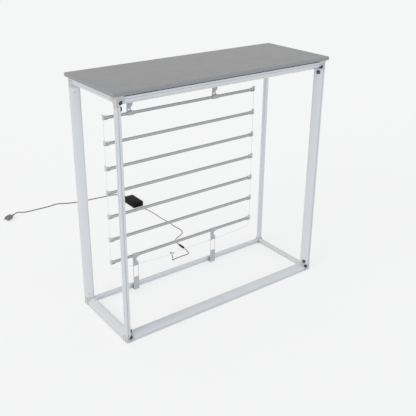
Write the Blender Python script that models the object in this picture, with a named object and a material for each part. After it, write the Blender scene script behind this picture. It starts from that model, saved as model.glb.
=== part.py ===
"""A backlit exhibition counter: a push-together aluminium frame, a loose countertop and an LED ladder.

The origin is under the middle of the frame, on the floor. +X is the right-hand end, -Y the front
and +Z up. Each corner of the frame is drawn in its own inward octant, with a, b and c measured
inwards from the end face, the long face and the level face, and is then reflected into place.
"""
import math

import bmesh
import bpy
from mathutils import Matrix, Vector

# Overall sizes
TOP_WIDTH = 1.000
TOP_DEPTH = 0.372
COUNTER_HEIGHT = 0.990
TOP_THICKNESS = 0.014
TOP_CORNER_RADIUS = 0.006
TOP_EDGE_RADIUS = 0.0025
OVERHANG_X = 0.012
OVERHANG_Y = 0.009
PAD_HEIGHT = 0.005
GAP = 0.0003
OVERRUN = 0.002

# Frame section: two flat outer legs, two bowed flanks and a rounded nose
LEG = 0.0165
NOSE_REACH = 0.0325
NOSE_RADIUS = 0.005
NOSE_ARC_START = math.radians(-20.0)
FLANK_BULGE = 0.0012
EDGE_RADIUS = 0.0015
GROOVE_INSET = 0.0085
GROOVE_WIDTH = 0.0018
GROOVE_DEPTH = 0.0022
WALL = 0.0016

# Corner connectors
CONNECTOR_REACH = 0.034
SPIGOT_LENGTH = 0.030
FIT = 0.0003
WEB_THICKNESS = 0.0025
WEB_RECESS = 0.0005
CORNER_ROUNDING = 0.005
SNAP_HOLE_DIAMETER = 0.005
SNAP_HOLE_INSET = 0.012
SNAP_HOLE_FROM_END = 0.052

# Quarter-turn locks
LOCK_DIAMETER = 0.0156
LOCK_HEAD = 0.0075
LOCK_CHAMFER = 0.0008
LOCK_SHANK_DIAMETER = 0.006
LOCK_SHANK_LENGTH = 0.010
LOCK_SOCKET_DIAMETER = 0.006
LOCK_SOCKET_DEPTH = 0.0022
LOCK_BOSS_WALL = 0.0015
CORNER_LOCK_FROM_END = 0.0198
CORNER_LOCK_FROM_LEVEL = 0.020
CORNER_LOCK_DEPTH = 0.0025
CORNER_LOCK_ROOT = 0.024
POST_LOCK_FROM_END = 0.0435
POST_LOCK_SEAT = 0.0012

# Countertop blocks
BLOCK_LENGTH = 0.040
BLOCK_WIDTH = 0.012
BLOCK_HEIGHT = 0.015
BLOCK_EDGE = 0.0015
BLOCK_FROM_END = 0.128
BLOCK_CLEARANCE = 0.003

# LED ladder
BAR_PITCH = 0.105
BAR_HEIGHT = 0.011
BAR_DEPTH = 0.008
BAR_WALL = 0.0013
BAR_DROP = 0.1638
LADDER_INSET = 0.1085
LADDER_STANDOFF = 0.0121
CLIP_CAP = 0.006
CLIP_WALL = 0.0018
CLIP_DEPTH = 0.011
CLIP_REACH = 0.020
CLIP_HORN_RISE = 0.0135
CLIP_HORN_RUN = 0.012
CLIP_HORN_TIP = 0.0028
CLIP_HORN_HOLLOW_SHARE = 0.3
CLIP_FOOT_LENGTH = 0.005
CLIP_FOOT_DROP = 0.003
SIDE_LEAD_RADIUS = 0.001
SIDE_LEAD_INSET = 0.003
SIDE_LEAD_END = 0.002

# Hangers of the ladder
LEFT_HANGER_FROM_END = 0.1211
RIGHT_HANGER_FROM_END = 0.2209
HANGER_PLATE = 0.0025
HANGER_WIDTH = 0.0272
HANGER_FLANGE = 0.002
HANGER_WAIST = 0.0177
HANGER_NOTCH_RADIUS = 0.0115
TOP_HOOK_LIP = 0.002
TOP_HOOK_FOOT_REACH = 0.0189
TOP_HOOK_NOTCH_RISE = 0.0191
TOP_HOOK_HOLE_RISE = 0.0148
TOP_HOOK_HOLE_OFFSET = 0.0036
TOP_HOOK_HOLE_DIAMETER = 0.008
BAR_CLIP_NOTCH_DROP = 0.0224
BAR_CLIP_FOOT_DROP = 0.0519
LOWER_HOOK_WIDTH = 0.0268
LOWER_HOOK_TOP = 0.067
LOWER_HOOK_BOTTOM = 0.008
LOWER_HOOK_TIP_INSET = 0.0265
ELASTIC_RADIUS = 0.0011
ELASTIC_SPACING = 0.0242
SHORTEST_ELASTIC = 0.030

# Leads and what is on them
WHITE_LEAD_DIAMETER = 0.002
DC_DIAMETER = 0.0035
AC_DIAMETER = 0.005
JUNCTION_LENGTH = 0.014
JUNCTION_WIDTH = 0.007
JUNCTION_EDGE = 0.0012
SOCKET_LENGTH = 0.026
SOCKET_DIAMETER = 0.010
PLUG_LENGTH = 0.024
PLUG_DIAMETER = 0.009
PLUG_NECK_LENGTH = 0.010
PLUG_NECK_DIAMETER = 0.0055
BARREL_LENGTH = 0.0085
BARREL_DIAMETER = 0.0052
ADAPTOR_WIDTH = 0.062
ADAPTOR_LENGTH = 0.117
ADAPTOR_HEIGHT = 0.030
ADAPTOR_WALL = 0.002
ADAPTOR_EDGE = 0.003
ADAPTOR_LEDGE_WIDTH = 0.003
ADAPTOR_LEDGE_HEIGHT = 0.006
BOARD_THICKNESS = 0.0016
COIL_WIDTH = 0.030
COIL_LENGTH = 0.036
COIL_HEIGHT = 0.016
RELIEF_DIAMETER = 0.011
DC_RELIEF_LENGTH = 0.016
AC_RELIEF_LENGTH = 0.028
MAINS_PLUG_LENGTH = 0.038
MAINS_PLUG_WIDTH = 0.036
MAINS_PLUG_HEIGHT = 0.028
MAINS_PLUG_SHOULDER = 0.012
MAINS_PIN_DIAMETER = 0.0048
MAINS_PIN_LENGTH = 0.019
MAINS_PIN_SPACING = 0.019

# Routes of the leads, from end to end
WHITE_LEAD_LEFT_ROUTE = [
    (-0.3765, 0.1324, 0.1691), (-0.3762, 0.1326, 0.1620), (-0.3725, 0.1335, 0.1500),
    (-0.3620, 0.1350, 0.1400), (-0.3440, 0.1357, 0.1340), (-0.3200, 0.1360, 0.1310),
    (-0.2960, 0.1361, 0.1292), (-0.2700, 0.1361, 0.1275), (-0.2400, 0.1361, 0.1255),
    (-0.2000, 0.1358, 0.1238), (-0.1600, 0.1350, 0.1226), (-0.1200, 0.1335, 0.1221),
    (-0.0950, 0.1326, 0.1222), (-0.0749, 0.1324, 0.1225),
]
WHITE_LEAD_RIGHT_ROUTE = [
    (-0.0603, 0.1324, 0.1228), (-0.0420, 0.1332, 0.1240), (0.0000, 0.1350, 0.1250),
    (0.0400, 0.1358, 0.1248), (0.0800, 0.1361, 0.1244), (0.1200, 0.1361, 0.1240),
    (0.1610, 0.1361, 0.1240), (0.2000, 0.1361, 0.1244), (0.2400, 0.1360, 0.1252),
    (0.2800, 0.1358, 0.1265), (0.3200, 0.1354, 0.1288), (0.3500, 0.1348, 0.1330),
    (0.3690, 0.1340, 0.1415), (0.3765, 0.1330, 0.1530), (0.3770, 0.1325, 0.1620),
    (0.3765, 0.1324, 0.1691),
]
DC_TAIL_ROUTE = [
    (-0.0676, 0.1363, 0.1225), (-0.0676, 0.1457, 0.1225), (-0.0630, 0.1550, 0.1130),
    (-0.0510, 0.1650, 0.0980), (-0.0380, 0.1790, 0.0800), (-0.0250, 0.1960, 0.0600),
    (-0.0120, 0.2150, 0.0400), (0.0000, 0.2360, 0.0200), (0.0120, 0.2520, 0.0080),
    (0.0270, 0.2610, 0.0030), (0.0450, 0.2650, 0.0020), (0.0700, 0.2665, 0.0020),
    (0.0950, 0.2655, 0.0020), (0.1120, 0.2675, 0.0020), (0.1215, 0.2760, 0.0020),
    (0.1245, 0.2890, 0.0022), (0.1255, 0.3000, 0.0040), (0.1262, 0.3127, 0.0052),
    (0.1266, 0.3221, 0.0052),
]
DC_LEAD_ROUTE = [
    (0.1286, 0.3732, 0.0052), (0.1290, 0.3826, 0.0052), (0.1340, 0.3990, 0.0028),
    (0.1410, 0.4140, 0.0020), (0.1490, 0.4270, 0.0020), (0.1640, 0.4380, 0.0020),
    (0.1860, 0.4470, 0.0020), (0.2070, 0.4590, 0.0020), (0.2230, 0.4760, 0.0020),
    (0.2290, 0.4980, 0.0020), (0.2290, 0.5250, 0.0020), (0.2268, 0.5500, 0.0020),
    (0.2270, 0.5750, 0.0020), (0.2300, 0.5980, 0.0020), (0.2270, 0.6280, 0.0020),
    (0.2240, 0.6700, 0.0020), (0.2235, 0.7200, 0.0020), (0.2230, 0.7700, 0.0020),
    (0.2185, 0.8050, 0.0030), (0.2080, 0.8250, 0.0070), (0.2015, 0.8380, 0.0118),
    (0.2000, 0.8468, 0.0130), (0.2000, 0.8563, 0.0130),
]
AC_LEAD_ROUTE = [
    (0.2000, 1.0187, 0.0130), (0.2000, 1.0320, 0.0130), (0.1997, 1.0440, 0.0100),
    (0.1985, 1.0560, 0.0055), (0.1955, 1.0690, 0.0030), (0.1880, 1.0850, 0.0028),
    (0.1740, 1.0975, 0.0028), (0.1500, 1.1045, 0.0028), (0.1225, 1.1080, 0.0028),
    (0.0715, 1.1150, 0.0028),
    (0.0240, 1.1200, 0.0028), (-0.0190, 1.1255, 0.0028), (-0.0550, 1.1320, 0.0028),
    (-0.1125, 1.1530, 0.0028), (-0.1400, 1.1690, 0.0028), (-0.1650, 1.1760, 0.0028),
    (-0.2070, 1.1710, 0.0028), (-0.2560, 1.1720, 0.0028), (-0.2990, 1.1740, 0.0028),
    (-0.3380, 1.1745, 0.0035), (-0.3650, 1.1772, 0.0070), (-0.3840, 1.1777, 0.0120),
    (-0.3965, 1.1734, 0.0140), (-0.4077, 1.1668, 0.0140),
]
ROUTE_STEPS_PER_DIAMETER = 2.6
MOST_ROUTE_POINTS = 80
JUNCTION_PLACE = (-0.0676, 0.1324, 0.1225)
SOCKET_PLACE = (0.1271, 0.3355, 0.0052)
SOCKET_HEADING = (0.04, 1.0, 0.0)
ADAPTOR_PLACE = (0.200, 0.9315)
MAINS_PLUG_START = (-0.4083, 1.1664, 0.0140)
MAINS_PLUG_HEADING = (-0.86, -0.51, 0.0)

# Facets
SMOOTH_ANGLE = math.radians(32.0)
FLANK_STEPS = 3
NOSE_STEPS = 2
WEB_STEPS = 5
NOTCH_STEPS = 10
ROUND_SIDES = 18
SMALL_SIDES = 10
HEX_SIDES = 6
TUBE_RESOLUTION = 2

# Places that follow from the sizes
FRAME_WIDTH = TOP_WIDTH - 2 * OVERHANG_X
FRAME_DEPTH = TOP_DEPTH - 2 * OVERHANG_Y
FRAME_HEIGHT = COUNTER_HEIGHT - TOP_THICKNESS - GAP - PAD_HEIGHT
MEMBER_START = CONNECTOR_REACH + GAP
LADDER_HALF = FRAME_WIDTH / 2 - LADDER_INSET
LADDER_SETBACK = NOSE_REACH + LADDER_STANDOFF
LADDER_Y = FRAME_DEPTH / 2 - LADDER_SETBACK
TOP_BAR_Z = FRAME_HEIGHT - BAR_DROP
LOWEST_BAR_Z = LOWER_HOOK_TOP + SHORTEST_ELASTIC + BAR_CLIP_FOOT_DROP
BAR_COUNT = int((TOP_BAR_Z - LOWEST_BAR_Z) / BAR_PITCH) + 1
BAR_HEIGHTS = [TOP_BAR_Z - BAR_PITCH * step for step in range(BAR_COUNT)]
BAR_HALF = LADDER_HALF - CLIP_CAP + OVERRUN / 2
CLIP_BOTTOM = BAR_HEIGHT / 2 + CLIP_WALL
HANGERS = [("left", LEFT_HANGER_FROM_END - LADDER_HALF), ("right", LADDER_HALF - RIGHT_HANGER_FROM_END)]
ELASTIC_TOP = BAR_HEIGHTS[-1] - BAR_CLIP_FOOT_DROP
LOCK_CLEARANCE_RADIUS = LOCK_DIAMETER / 2 + GAP
LOCK_SHANK_HOLE_RADIUS = LOCK_SHANK_DIAMETER / 2 + GAP

SIDES = [("left", -1), ("right", 1)]
FACES = [("front", -1), ("back", 1)]
LEVELS = [("bottom", -1), ("top", 1)]


def clear_scene():
    for old in list(bpy.data.objects):
        bpy.data.objects.remove(old)


def material(name, colour, roughness, metallic=0.0):
    finish = bpy.data.materials.new(name)
    finish.use_nodes = True
    shader = finish.node_tree.nodes["Principled BSDF"]
    shader.inputs["Base Color"].default_value = (*colour, 1.0)
    shader.inputs["Roughness"].default_value = roughness
    shader.inputs["Metallic"].default_value = metallic
    return finish


def add_object(name, bm, finish, place=(0.0, 0.0, 0.0)):
    """Makes a named object of a mesh, with its faces outwards and its round sides smooth."""
    bmesh.ops.recalc_face_normals(bm, faces=bm.faces)
    mesh = bpy.data.meshes.new(name)
    bm.to_mesh(mesh)
    bm.free()
    mesh.shade_smooth()
    mesh.set_sharp_from_angle(angle=SMOOTH_ANGLE)
    piece = bpy.data.objects.new(name, mesh)
    piece.location = place
    bpy.context.collection.objects.link(piece)
    if finish:
        mesh.materials.append(finish)
    return piece


def add_cutter(name, bm, place=(0.0, 0.0, 0.0)):
    cutter = add_object(name, bm, None, place)
    cutter.hide_render = True
    cutter.display_type = "WIRE"
    return cutter


def combine(piece, other, operation):
    step = piece.modifiers.new(other.name, "BOOLEAN")
    step.operation = operation
    step.solver = "EXACT"
    step.object = other


def extrude_outline(bm, outline, depth):
    """Adds the closed solid between a flat outline and its copy moved by a vector."""
    face = bm.faces.new([bm.verts.new(point) for point in outline])
    grown = bmesh.ops.extrude_face_region(bm, geom=[face])
    moved = [item for item in grown["geom"] if isinstance(item, bmesh.types.BMVert)]
    bmesh.ops.translate(bm, verts=moved, vec=depth)


def add_block(bm, low, high):
    size = Vector(high) - Vector(low)
    middle = (Vector(high) + Vector(low)) / 2
    scaling = Matrix.Diagonal((*size, 1.0))
    made = bmesh.ops.create_cube(bm, size=1.0, matrix=Matrix.Translation(middle) @ scaling)
    return made["verts"]


def turned_frame(start, heading):
    """The matrix whose Z runs along a heading from a start point, with its Y kept level or up."""
    turn = Vector(heading).to_track_quat("Z", "Y")
    return Matrix.Translation(Vector(start)) @ turn.to_matrix().to_4x4()


def add_bar(bm, start, end, radius, sides):
    """Adds a round bar from one point to another."""
    run = Vector(end) - Vector(start)
    frame = turned_frame(Vector(start) + run / 2, run)
    bmesh.ops.create_cone(
        bm, cap_ends=True, segments=sides, radius1=radius, radius2=radius, depth=run.length,
        matrix=frame)


def add_turned(bm, profile, sides, frame=None, flatten=1.0):
    """Adds a turned solid from (height, radius, is_hexagonal) rings, flattened along its own Y."""
    frame = frame or Matrix.Identity(4)
    rings = []
    for height, radius, hexagonal in profile:
        ring = []
        for step in range(sides):
            angle = math.tau * step / sides
            off_flat = angle % (math.tau / HEX_SIDES) - math.pi / HEX_SIDES
            reach = radius / math.cos(off_flat) if hexagonal else radius
            point = (reach * math.cos(angle), reach * math.sin(angle) * flatten, height)
            ring.append(bm.verts.new(frame @ Vector(point)))
        rings.append(ring)
    for lower, upper in zip(rings, rings[1:]):
        for step in range(sides):
            after = (step + 1) % sides
            bm.faces.new((lower[step], lower[after], upper[after], upper[step]))
    bm.faces.new(rings[0])
    bm.faces.new(rings[-1])


def mirrored_outline(half):
    """Closes a half outline that starts and ends on the diagonal with its mirror image."""
    return half + [(v, u) for u, v in reversed(half[1:-1])]


def nose_arc(radius, steps):
    """Points of the nose from the start of its arc to the diagonal."""
    centre = NOSE_REACH - NOSE_RADIUS
    points = []
    for step in range(steps + 1):
        angle = NOSE_ARC_START + (math.pi / 4 - NOSE_ARC_START) * step / steps
        points.append((centre + radius * math.cos(angle), centre + radius * math.sin(angle)))
    return points


NOSE_START = Vector(nose_arc(NOSE_RADIUS, NOSE_STEPS)[0])
FLANK_RUN = NOSE_START - Vector((LEG, 0.0))
FLANK_ALONG = FLANK_RUN.normalized()
FLANK_OUT = Vector((FLANK_ALONG.y, -FLANK_ALONG.x))
FLANK_SLOPE = FLANK_RUN.y / FLANK_RUN.x
FLANK_MIDDLE = Vector((LEG, 0.0)) + FLANK_RUN / 2


def section_outline():
    """The outer outline of a frame member, from its rounded outer edge to the nose and back."""
    corner = EDGE_RADIUS * (1.0 - math.sqrt(0.5))
    near = GROOVE_INSET - GROOVE_WIDTH / 2
    far = GROOVE_INSET + GROOVE_WIDTH / 2
    half = [
        (corner, corner), (EDGE_RADIUS, 0.0), (near, 0.0), (near, GROOVE_DEPTH),
        (far, GROOVE_DEPTH), (far, 0.0), (LEG, 0.0),
    ]
    pull = FLANK_MIDDLE + FLANK_OUT * FLANK_BULGE * 2
    for step in range(1, FLANK_STEPS):
        share = step / FLANK_STEPS
        toward_pull = Vector((LEG, 0.0)).lerp(pull, share)
        toward_nose = pull.lerp(NOSE_START, share)
        half.append(tuple(toward_pull.lerp(toward_nose, share)))
    return mirrored_outline(half + nose_arc(NOSE_RADIUS, NOSE_STEPS))


def cavity_outline(wall):
    """The inner outline of a frame member, a wall inside its grooves, flanks and nose."""
    leg = GROOVE_DEPTH + wall
    on_flank = Vector((LEG, 0.0)) - FLANK_OUT * wall
    foot = (on_flank.x + (leg - on_flank.y) / FLANK_SLOPE, leg)
    return mirrored_outline([(leg, leg), foot] + nose_arc(NOSE_RADIUS - wall, 1))


def on_axis(axis, along, u, v):
    """The point at a distance along one axis of a corner, and u and v off the other two."""
    point = [0.0, 0.0, 0.0]
    point[axis] = along
    point[(axis + 1) % 3] = u
    point[(axis + 2) % 3] = v
    return Vector(point)


def into_corner(bm, corner):
    """Reflects a piece drawn in the inward octant into one of the frame's eight corners."""
    bmesh.ops.transform(bm, matrix=Matrix.Diagonal((*[-sign for sign in corner], 1.0)), verts=bm.verts)


def corner_place(corner):
    side, face, level = corner
    return (side * FRAME_WIDTH / 2, face * FRAME_DEPTH / 2, FRAME_HEIGHT if level > 0 else 0.0)


def add_corner_piece(name, bm, corner, finish):
    into_corner(bm, corner)
    return add_object(name, bm, finish, corner_place(corner))


def add_corner_cutter(name, bm, corner):
    into_corner(bm, corner)
    return add_cutter(name, bm, corner_place(corner))


def flank_point(axis_share, depth, height):
    """A point of a post's octant on the flank beside its long face, below the chord by a depth."""
    on_chord = Vector((LEG, 0.0)) + FLANK_RUN * axis_share - FLANK_OUT * depth
    return Vector((on_chord.x, on_chord.y, height))


def end_flank_point(inset, depth, height):
    """A point of a post's octant on the flank beside its end face, at an inset from that face."""
    on_chord = Vector((LEG + inset / FLANK_SLOPE, inset)) - FLANK_OUT * depth
    return Vector((on_chord.y, on_chord.x, height))


def make_member(name, axis, length, corner, finish):
    """A hollow frame member between the connectors at its two ends."""
    bm = bmesh.new()
    run = on_axis(axis, length - 2 * MEMBER_START, 0.0, 0.0)
    extrude_outline(bm, [on_axis(axis, MEMBER_START, u, v) for u, v in section_outline()], run)
    member = add_corner_piece(name, bm, corner, finish)
    bm = bmesh.new()
    run = on_axis(axis, length - 2 * MEMBER_START + 2 * OVERRUN, 0.0, 0.0)
    hollow = [on_axis(axis, MEMBER_START - OVERRUN, u, v) for u, v in cavity_outline(WALL)]
    extrude_outline(bm, hollow, run)
    combine(member, add_corner_cutter(name + "_hollow", bm, corner), "DIFFERENCE")
    return member


def make_post(side_name, side, face_name, face, finish):
    """An upright with a snap hole near each end and, at the front, a window for each post lock."""
    name = "post_{}_{}".format(face_name, side_name)
    post = make_member(name, 2, FRAME_HEIGHT, (side, face, -1), finish)
    for level_name, level in LEVELS:
        corner = (side, face, level)
        bm = bmesh.new()
        outside = end_flank_point(SNAP_HOLE_INSET, -FLANK_BULGE - OVERRUN, SNAP_HOLE_FROM_END)
        inside = end_flank_point(SNAP_HOLE_INSET, WALL + FIT / 2, SNAP_HOLE_FROM_END)
        add_bar(bm, outside, inside, SNAP_HOLE_DIAMETER / 2, ROUND_SIDES)
        if face < 0:
            outside = flank_point(0.5, -FLANK_BULGE - OVERRUN, POST_LOCK_FROM_END)
            inside = flank_point(0.5, WALL + FIT / 2, POST_LOCK_FROM_END)
            add_bar(bm, outside, inside, LOCK_CLEARANCE_RADIUS, ROUND_SIDES)
        combine(post, add_corner_cutter(name + "_holes_" + level_name, bm, corner), "DIFFERENCE")
    return post


def make_frame(finish):
    for side_name, side in SIDES:
        for face_name, face in FACES:
            make_post(side_name, side, face_name, face, finish)
    for level_name, level in LEVELS:
        for face_name, face in FACES:
            name = "{}_rail_{}".format(level_name, face_name)
            make_member(name, 0, FRAME_WIDTH, (-1, face, level), finish)
        for side_name, side in SIDES:
            name = "{}_rail_{}".format(level_name, side_name)
            make_member(name, 1, FRAME_DEPTH, (side, -1, level), finish)


def connector_core():
    """Three mitred arms of the frame's section, each ending in a spigot for a member's hollow."""
    bm = bmesh.new()
    outline = section_outline()
    spigot = cavity_outline(WALL + FIT)
    for axis in range(3):
        mitre = [bm.verts.new(on_axis(axis, max(u, v), u, v)) for u, v in outline]
        end = [bm.verts.new(on_axis(axis, CONNECTOR_REACH, u, v)) for u, v in outline]
        root = [bm.verts.new(on_axis(axis, CONNECTOR_REACH, u, v)) for u, v in spigot]
        reach = CONNECTOR_REACH + SPIGOT_LENGTH
        tip = [bm.verts.new(on_axis(axis, reach, u, v)) for u, v in spigot]
        for first, second in ((mitre, end), (root, tip)):
            for step in range(len(first)):
                before = step - 1
                bm.faces.new((first[before], first[step], second[step], second[before]))
        bm.faces.new(tip)
        loops = [bm.edges.get((ring[step - 1], ring[step]))
                 for ring in (end, root) for step in range(len(ring))]
        bmesh.ops.triangle_fill(bm, edges=loops, use_beauty=True)
    bmesh.ops.remove_doubles(bm, verts=bm.verts, dist=GAP / 10)
    return bm


def corner_plate(axis, near, far, edge):
    """A flat plate across the inner angle of two arms, with a hollow fillet as its free side."""
    reach = CONNECTOR_REACH - WEB_RECESS
    radius = reach - LEG
    outline = [(edge, edge), (reach, edge)]
    for step in range(WEB_STEPS + 1):
        angle = -math.pi / 2 - math.pi / 2 * step / WEB_STEPS
        outline.append((reach + radius * math.cos(angle), reach + radius * math.sin(angle)))
    outline.append((edge, reach))
    bm = bmesh.new()
    extrude_outline(bm, [on_axis(axis, near, u, v) for u, v in outline],
                    on_axis(axis, far - near, 0.0, 0.0))
    return bm


def corner_rounding():
    """What a sphere through the three outer edges leaves outside it at the corner."""
    bm = bmesh.new()
    low = (-OVERRUN, -OVERRUN, -OVERRUN)
    high = (CORNER_ROUNDING, CORNER_ROUNDING, CORNER_ROUNDING)
    add_block(bm, low, high)
    return bm


def rounding_ball():
    bm = bmesh.new()
    middle = Matrix.Translation((CORNER_ROUNDING, CORNER_ROUNDING, CORNER_ROUNDING))
    bmesh.ops.create_uvsphere(
        bm, u_segments=2 * ROUND_SIDES, v_segments=ROUND_SIDES,
        radius=CORNER_ROUNDING * math.sqrt(2.0), matrix=middle)
    return bm


def add_lock_seats(connector, name, corner):
    """The boss and bores of a front connector's own lock and of the lock in the post above it."""
    seat = CORNER_LOCK_DEPTH + LOCK_HEAD + GAP

    def corner_axis(depth):
        return Vector((CORNER_LOCK_FROM_END, depth, CORNER_LOCK_FROM_LEVEL))

    bm = bmesh.new()
    boss_radius = LOCK_CLEARANCE_RADIUS + LOCK_BOSS_WALL
    add_bar(bm, corner_axis(seat - GAP), corner_axis(CORNER_LOCK_ROOT), boss_radius, ROUND_SIDES)
    combine(connector, add_corner_cutter(name + "_boss", bm, corner), "UNION")
    shank = LOCK_SHANK_LENGTH + GAP
    bm = bmesh.new()
    profile = [
        (-seat - OVERRUN, LOCK_CLEARANCE_RADIUS, False), (0.0, LOCK_CLEARANCE_RADIUS, False),
        (0.0, LOCK_SHANK_HOLE_RADIUS, False), (shank, LOCK_SHANK_HOLE_RADIUS, False),
    ]
    add_turned(bm, profile, ROUND_SIDES, turned_frame(corner_axis(seat), (0.0, 1.0, 0.0)))
    combine(connector, add_corner_cutter(name + "_lock_bore", bm, corner), "DIFFERENCE")
    seat_point = flank_point(0.5, WALL + FIT + POST_LOCK_SEAT, POST_LOCK_FROM_END)
    inwards = (-FLANK_OUT.x, -FLANK_OUT.y, 0.0)
    bm = bmesh.new()
    profile[0] = (-POST_LOCK_SEAT - OVERRUN, LOCK_CLEARANCE_RADIUS, False)
    add_turned(bm, profile, ROUND_SIDES, turned_frame(seat_point, inwards))
    combine(connector, add_corner_cutter(name + "_post_lock_bore", bm, corner), "DIFFERENCE")


def make_connectors(finish):
    for level_name, level in LEVELS:
        for face_name, face in FACES:
            for side_name, side in SIDES:
                corner = (side, face, level)
                name = "connector_{}_{}_{}".format(level_name, face_name, side_name)
                connector = add_corner_piece(name, connector_core(), corner, finish)
                webs = [0] if face < 0 else [0, 1]
                for axis in webs:
                    bm = corner_plate(axis, WEB_RECESS, WEB_RECESS + WEB_THICKNESS, LEG - OVERRUN)
                    web = add_corner_cutter("{}_web_{}".format(name, axis), bm, corner)
                    combine(connector, web, "UNION")
                if level > 0:
                    bm = corner_plate(2, -PAD_HEIGHT, GROOVE_DEPTH + OVERRUN, WEB_RECESS)
                else:
                    bm = corner_plate(2, WEB_RECESS, WEB_RECESS + WEB_THICKNESS, LEG - OVERRUN)
                combine(connector, add_corner_cutter(name + "_level_plate", bm, corner), "UNION")
                if level < 0:
                    rounding = add_corner_cutter(name + "_rounding", corner_rounding(), corner)
                    ball = add_corner_cutter(name + "_ball", rounding_ball(), corner)
                    combine(rounding, ball, "DIFFERENCE")
                    combine(connector, rounding, "DIFFERENCE")
                if face < 0:
                    add_lock_seats(connector, name, corner)


def lock_mesh(finish):
    """A lock with its shank along -Z and the top of its head, with a hexagonal socket, at +Z."""
    bm = bmesh.new()
    radius = LOCK_DIAMETER / 2
    socket = LOCK_SOCKET_DIAMETER / 2
    profile = [
        (-LOCK_SHANK_LENGTH, LOCK_SHANK_DIAMETER / 2, False), (0.0, LOCK_SHANK_DIAMETER / 2, False),
        (0.0, radius, False), (LOCK_HEAD - LOCK_CHAMFER, radius, False),
        (LOCK_HEAD, radius - LOCK_CHAMFER, False), (LOCK_HEAD, socket, True),
        (LOCK_HEAD - LOCK_SOCKET_DEPTH, socket, True),
    ]
    add_turned(bm, profile, ROUND_SIDES)
    guide = add_object("lock_pattern", bm, finish)
    mesh = guide.data
    bpy.data.objects.remove(guide)
    return mesh


def make_locks(finish):
    """Two locks at each front corner: one in the connector's face and one in the post's flank."""
    mesh = lock_mesh(finish)
    for level_name, level in LEVELS:
        for side_name, side in SIDES:
            flip = Vector((-side, 1, -level))
            origin = Vector(corner_place((side, -1, level)))
            in_corner = Vector((CORNER_LOCK_FROM_END, CORNER_LOCK_DEPTH + LOCK_HEAD,
                                CORNER_LOCK_FROM_LEVEL))
            in_post = flank_point(0.5, WALL + FIT + POST_LOCK_SEAT - GAP, POST_LOCK_FROM_END)
            outs = {"connector": Vector((0.0, -1.0, 0.0)),
                    "post": Vector((FLANK_OUT.x, FLANK_OUT.y, 0.0))}
            for kind, seat in (("connector", in_corner), ("post", in_post)):
                name = "lock_{}_{}_{}".format(kind, level_name, side_name)
                lock = bpy.data.objects.new(name, mesh)
                lock.rotation_mode = "QUATERNION"
                lock.rotation_quaternion = (outs[kind] * flip).to_track_quat("Z", "Y")
                lock.location = origin + seat * flip
                bpy.context.collection.objects.link(lock)


def make_countertop(finish):
    """The slab, with four blocks under it that keep it between the top rails."""
    bm = bmesh.new()
    underside = COUNTER_HEIGHT - TOP_THICKNESS
    add_block(bm, (-TOP_WIDTH / 2, -TOP_DEPTH / 2, underside),
              (TOP_WIDTH / 2, TOP_DEPTH / 2, COUNTER_HEIGHT))
    upright = [edge for edge in bm.edges if abs(edge.verts[0].co.z - edge.verts[1].co.z) > GAP]
    bmesh.ops.bevel(bm, geom=upright, offset=TOP_CORNER_RADIUS, segments=4, profile=0.5,
                    affect="EDGES")
    rims = [edge for edge in bm.edges if abs(edge.verts[0].co.z - edge.verts[1].co.z) < GAP]
    bmesh.ops.bevel(bm, geom=rims, offset=TOP_EDGE_RADIUS, segments=2, profile=0.5,
                    affect="EDGES")
    countertop = add_object("countertop", bm, finish)
    drop = FRAME_HEIGHT - underside + BLOCK_HEIGHT
    inset = LEG + drop / FLANK_SLOPE + FLANK_BULGE + BLOCK_CLEARANCE
    for side_name, side in SIDES:
        for face_name, face in FACES:
            x = side * (FRAME_WIDTH / 2 - BLOCK_FROM_END)
            y = face * (FRAME_DEPTH / 2 - inset - BLOCK_WIDTH / 2)
            bm = bmesh.new()
            add_block(bm, (x - BLOCK_LENGTH / 2, y - BLOCK_WIDTH / 2, underside - BLOCK_HEIGHT),
                      (x + BLOCK_LENGTH / 2, y + BLOCK_WIDTH / 2, underside + OVERRUN))
            bmesh.ops.bevel(bm, geom=bm.edges[:], offset=BLOCK_EDGE, segments=1, profile=0.5,
                            affect="EDGES")
            block = add_cutter("block_{}_{}".format(face_name, side_name), bm)
            combine(countertop, block, "UNION")


def end_clip(side):
    """A clip round one end of a bar, with a horn that guides the side lead, about the bar's middle."""
    inner = BAR_HEIGHT / 2 - BAR_WALL / 2
    foot = BAR_HEIGHT / 2 + CLIP_FOOT_DROP
    hollow = (CLIP_HORN_TIP + (CLIP_HORN_RUN - CLIP_HORN_TIP) * CLIP_HORN_HOLLOW_SHARE,
              CLIP_BOTTOM + (CLIP_HORN_RISE - CLIP_BOTTOM) * CLIP_HORN_HOLLOW_SHARE)
    outline = [
        (0.0, -CLIP_BOTTOM), (CLIP_REACH - CLIP_FOOT_LENGTH, -CLIP_BOTTOM),
        (CLIP_REACH - CLIP_FOOT_LENGTH, -foot), (CLIP_REACH, -foot), (CLIP_REACH, -inner),
        (CLIP_CAP, -inner), (CLIP_CAP, inner), (CLIP_REACH, inner), (CLIP_REACH, CLIP_BOTTOM),
        (CLIP_HORN_RUN, CLIP_BOTTOM), hollow, (CLIP_HORN_TIP, CLIP_HORN_RISE),
        (0.0, CLIP_HORN_RISE),
    ]
    bm = bmesh.new()
    points = [(side * (LADDER_HALF - inwards), -CLIP_DEPTH / 2, rise) for inwards, rise in outline]
    extrude_outline(bm, points, (0.0, CLIP_DEPTH, 0.0))
    return bm


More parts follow.
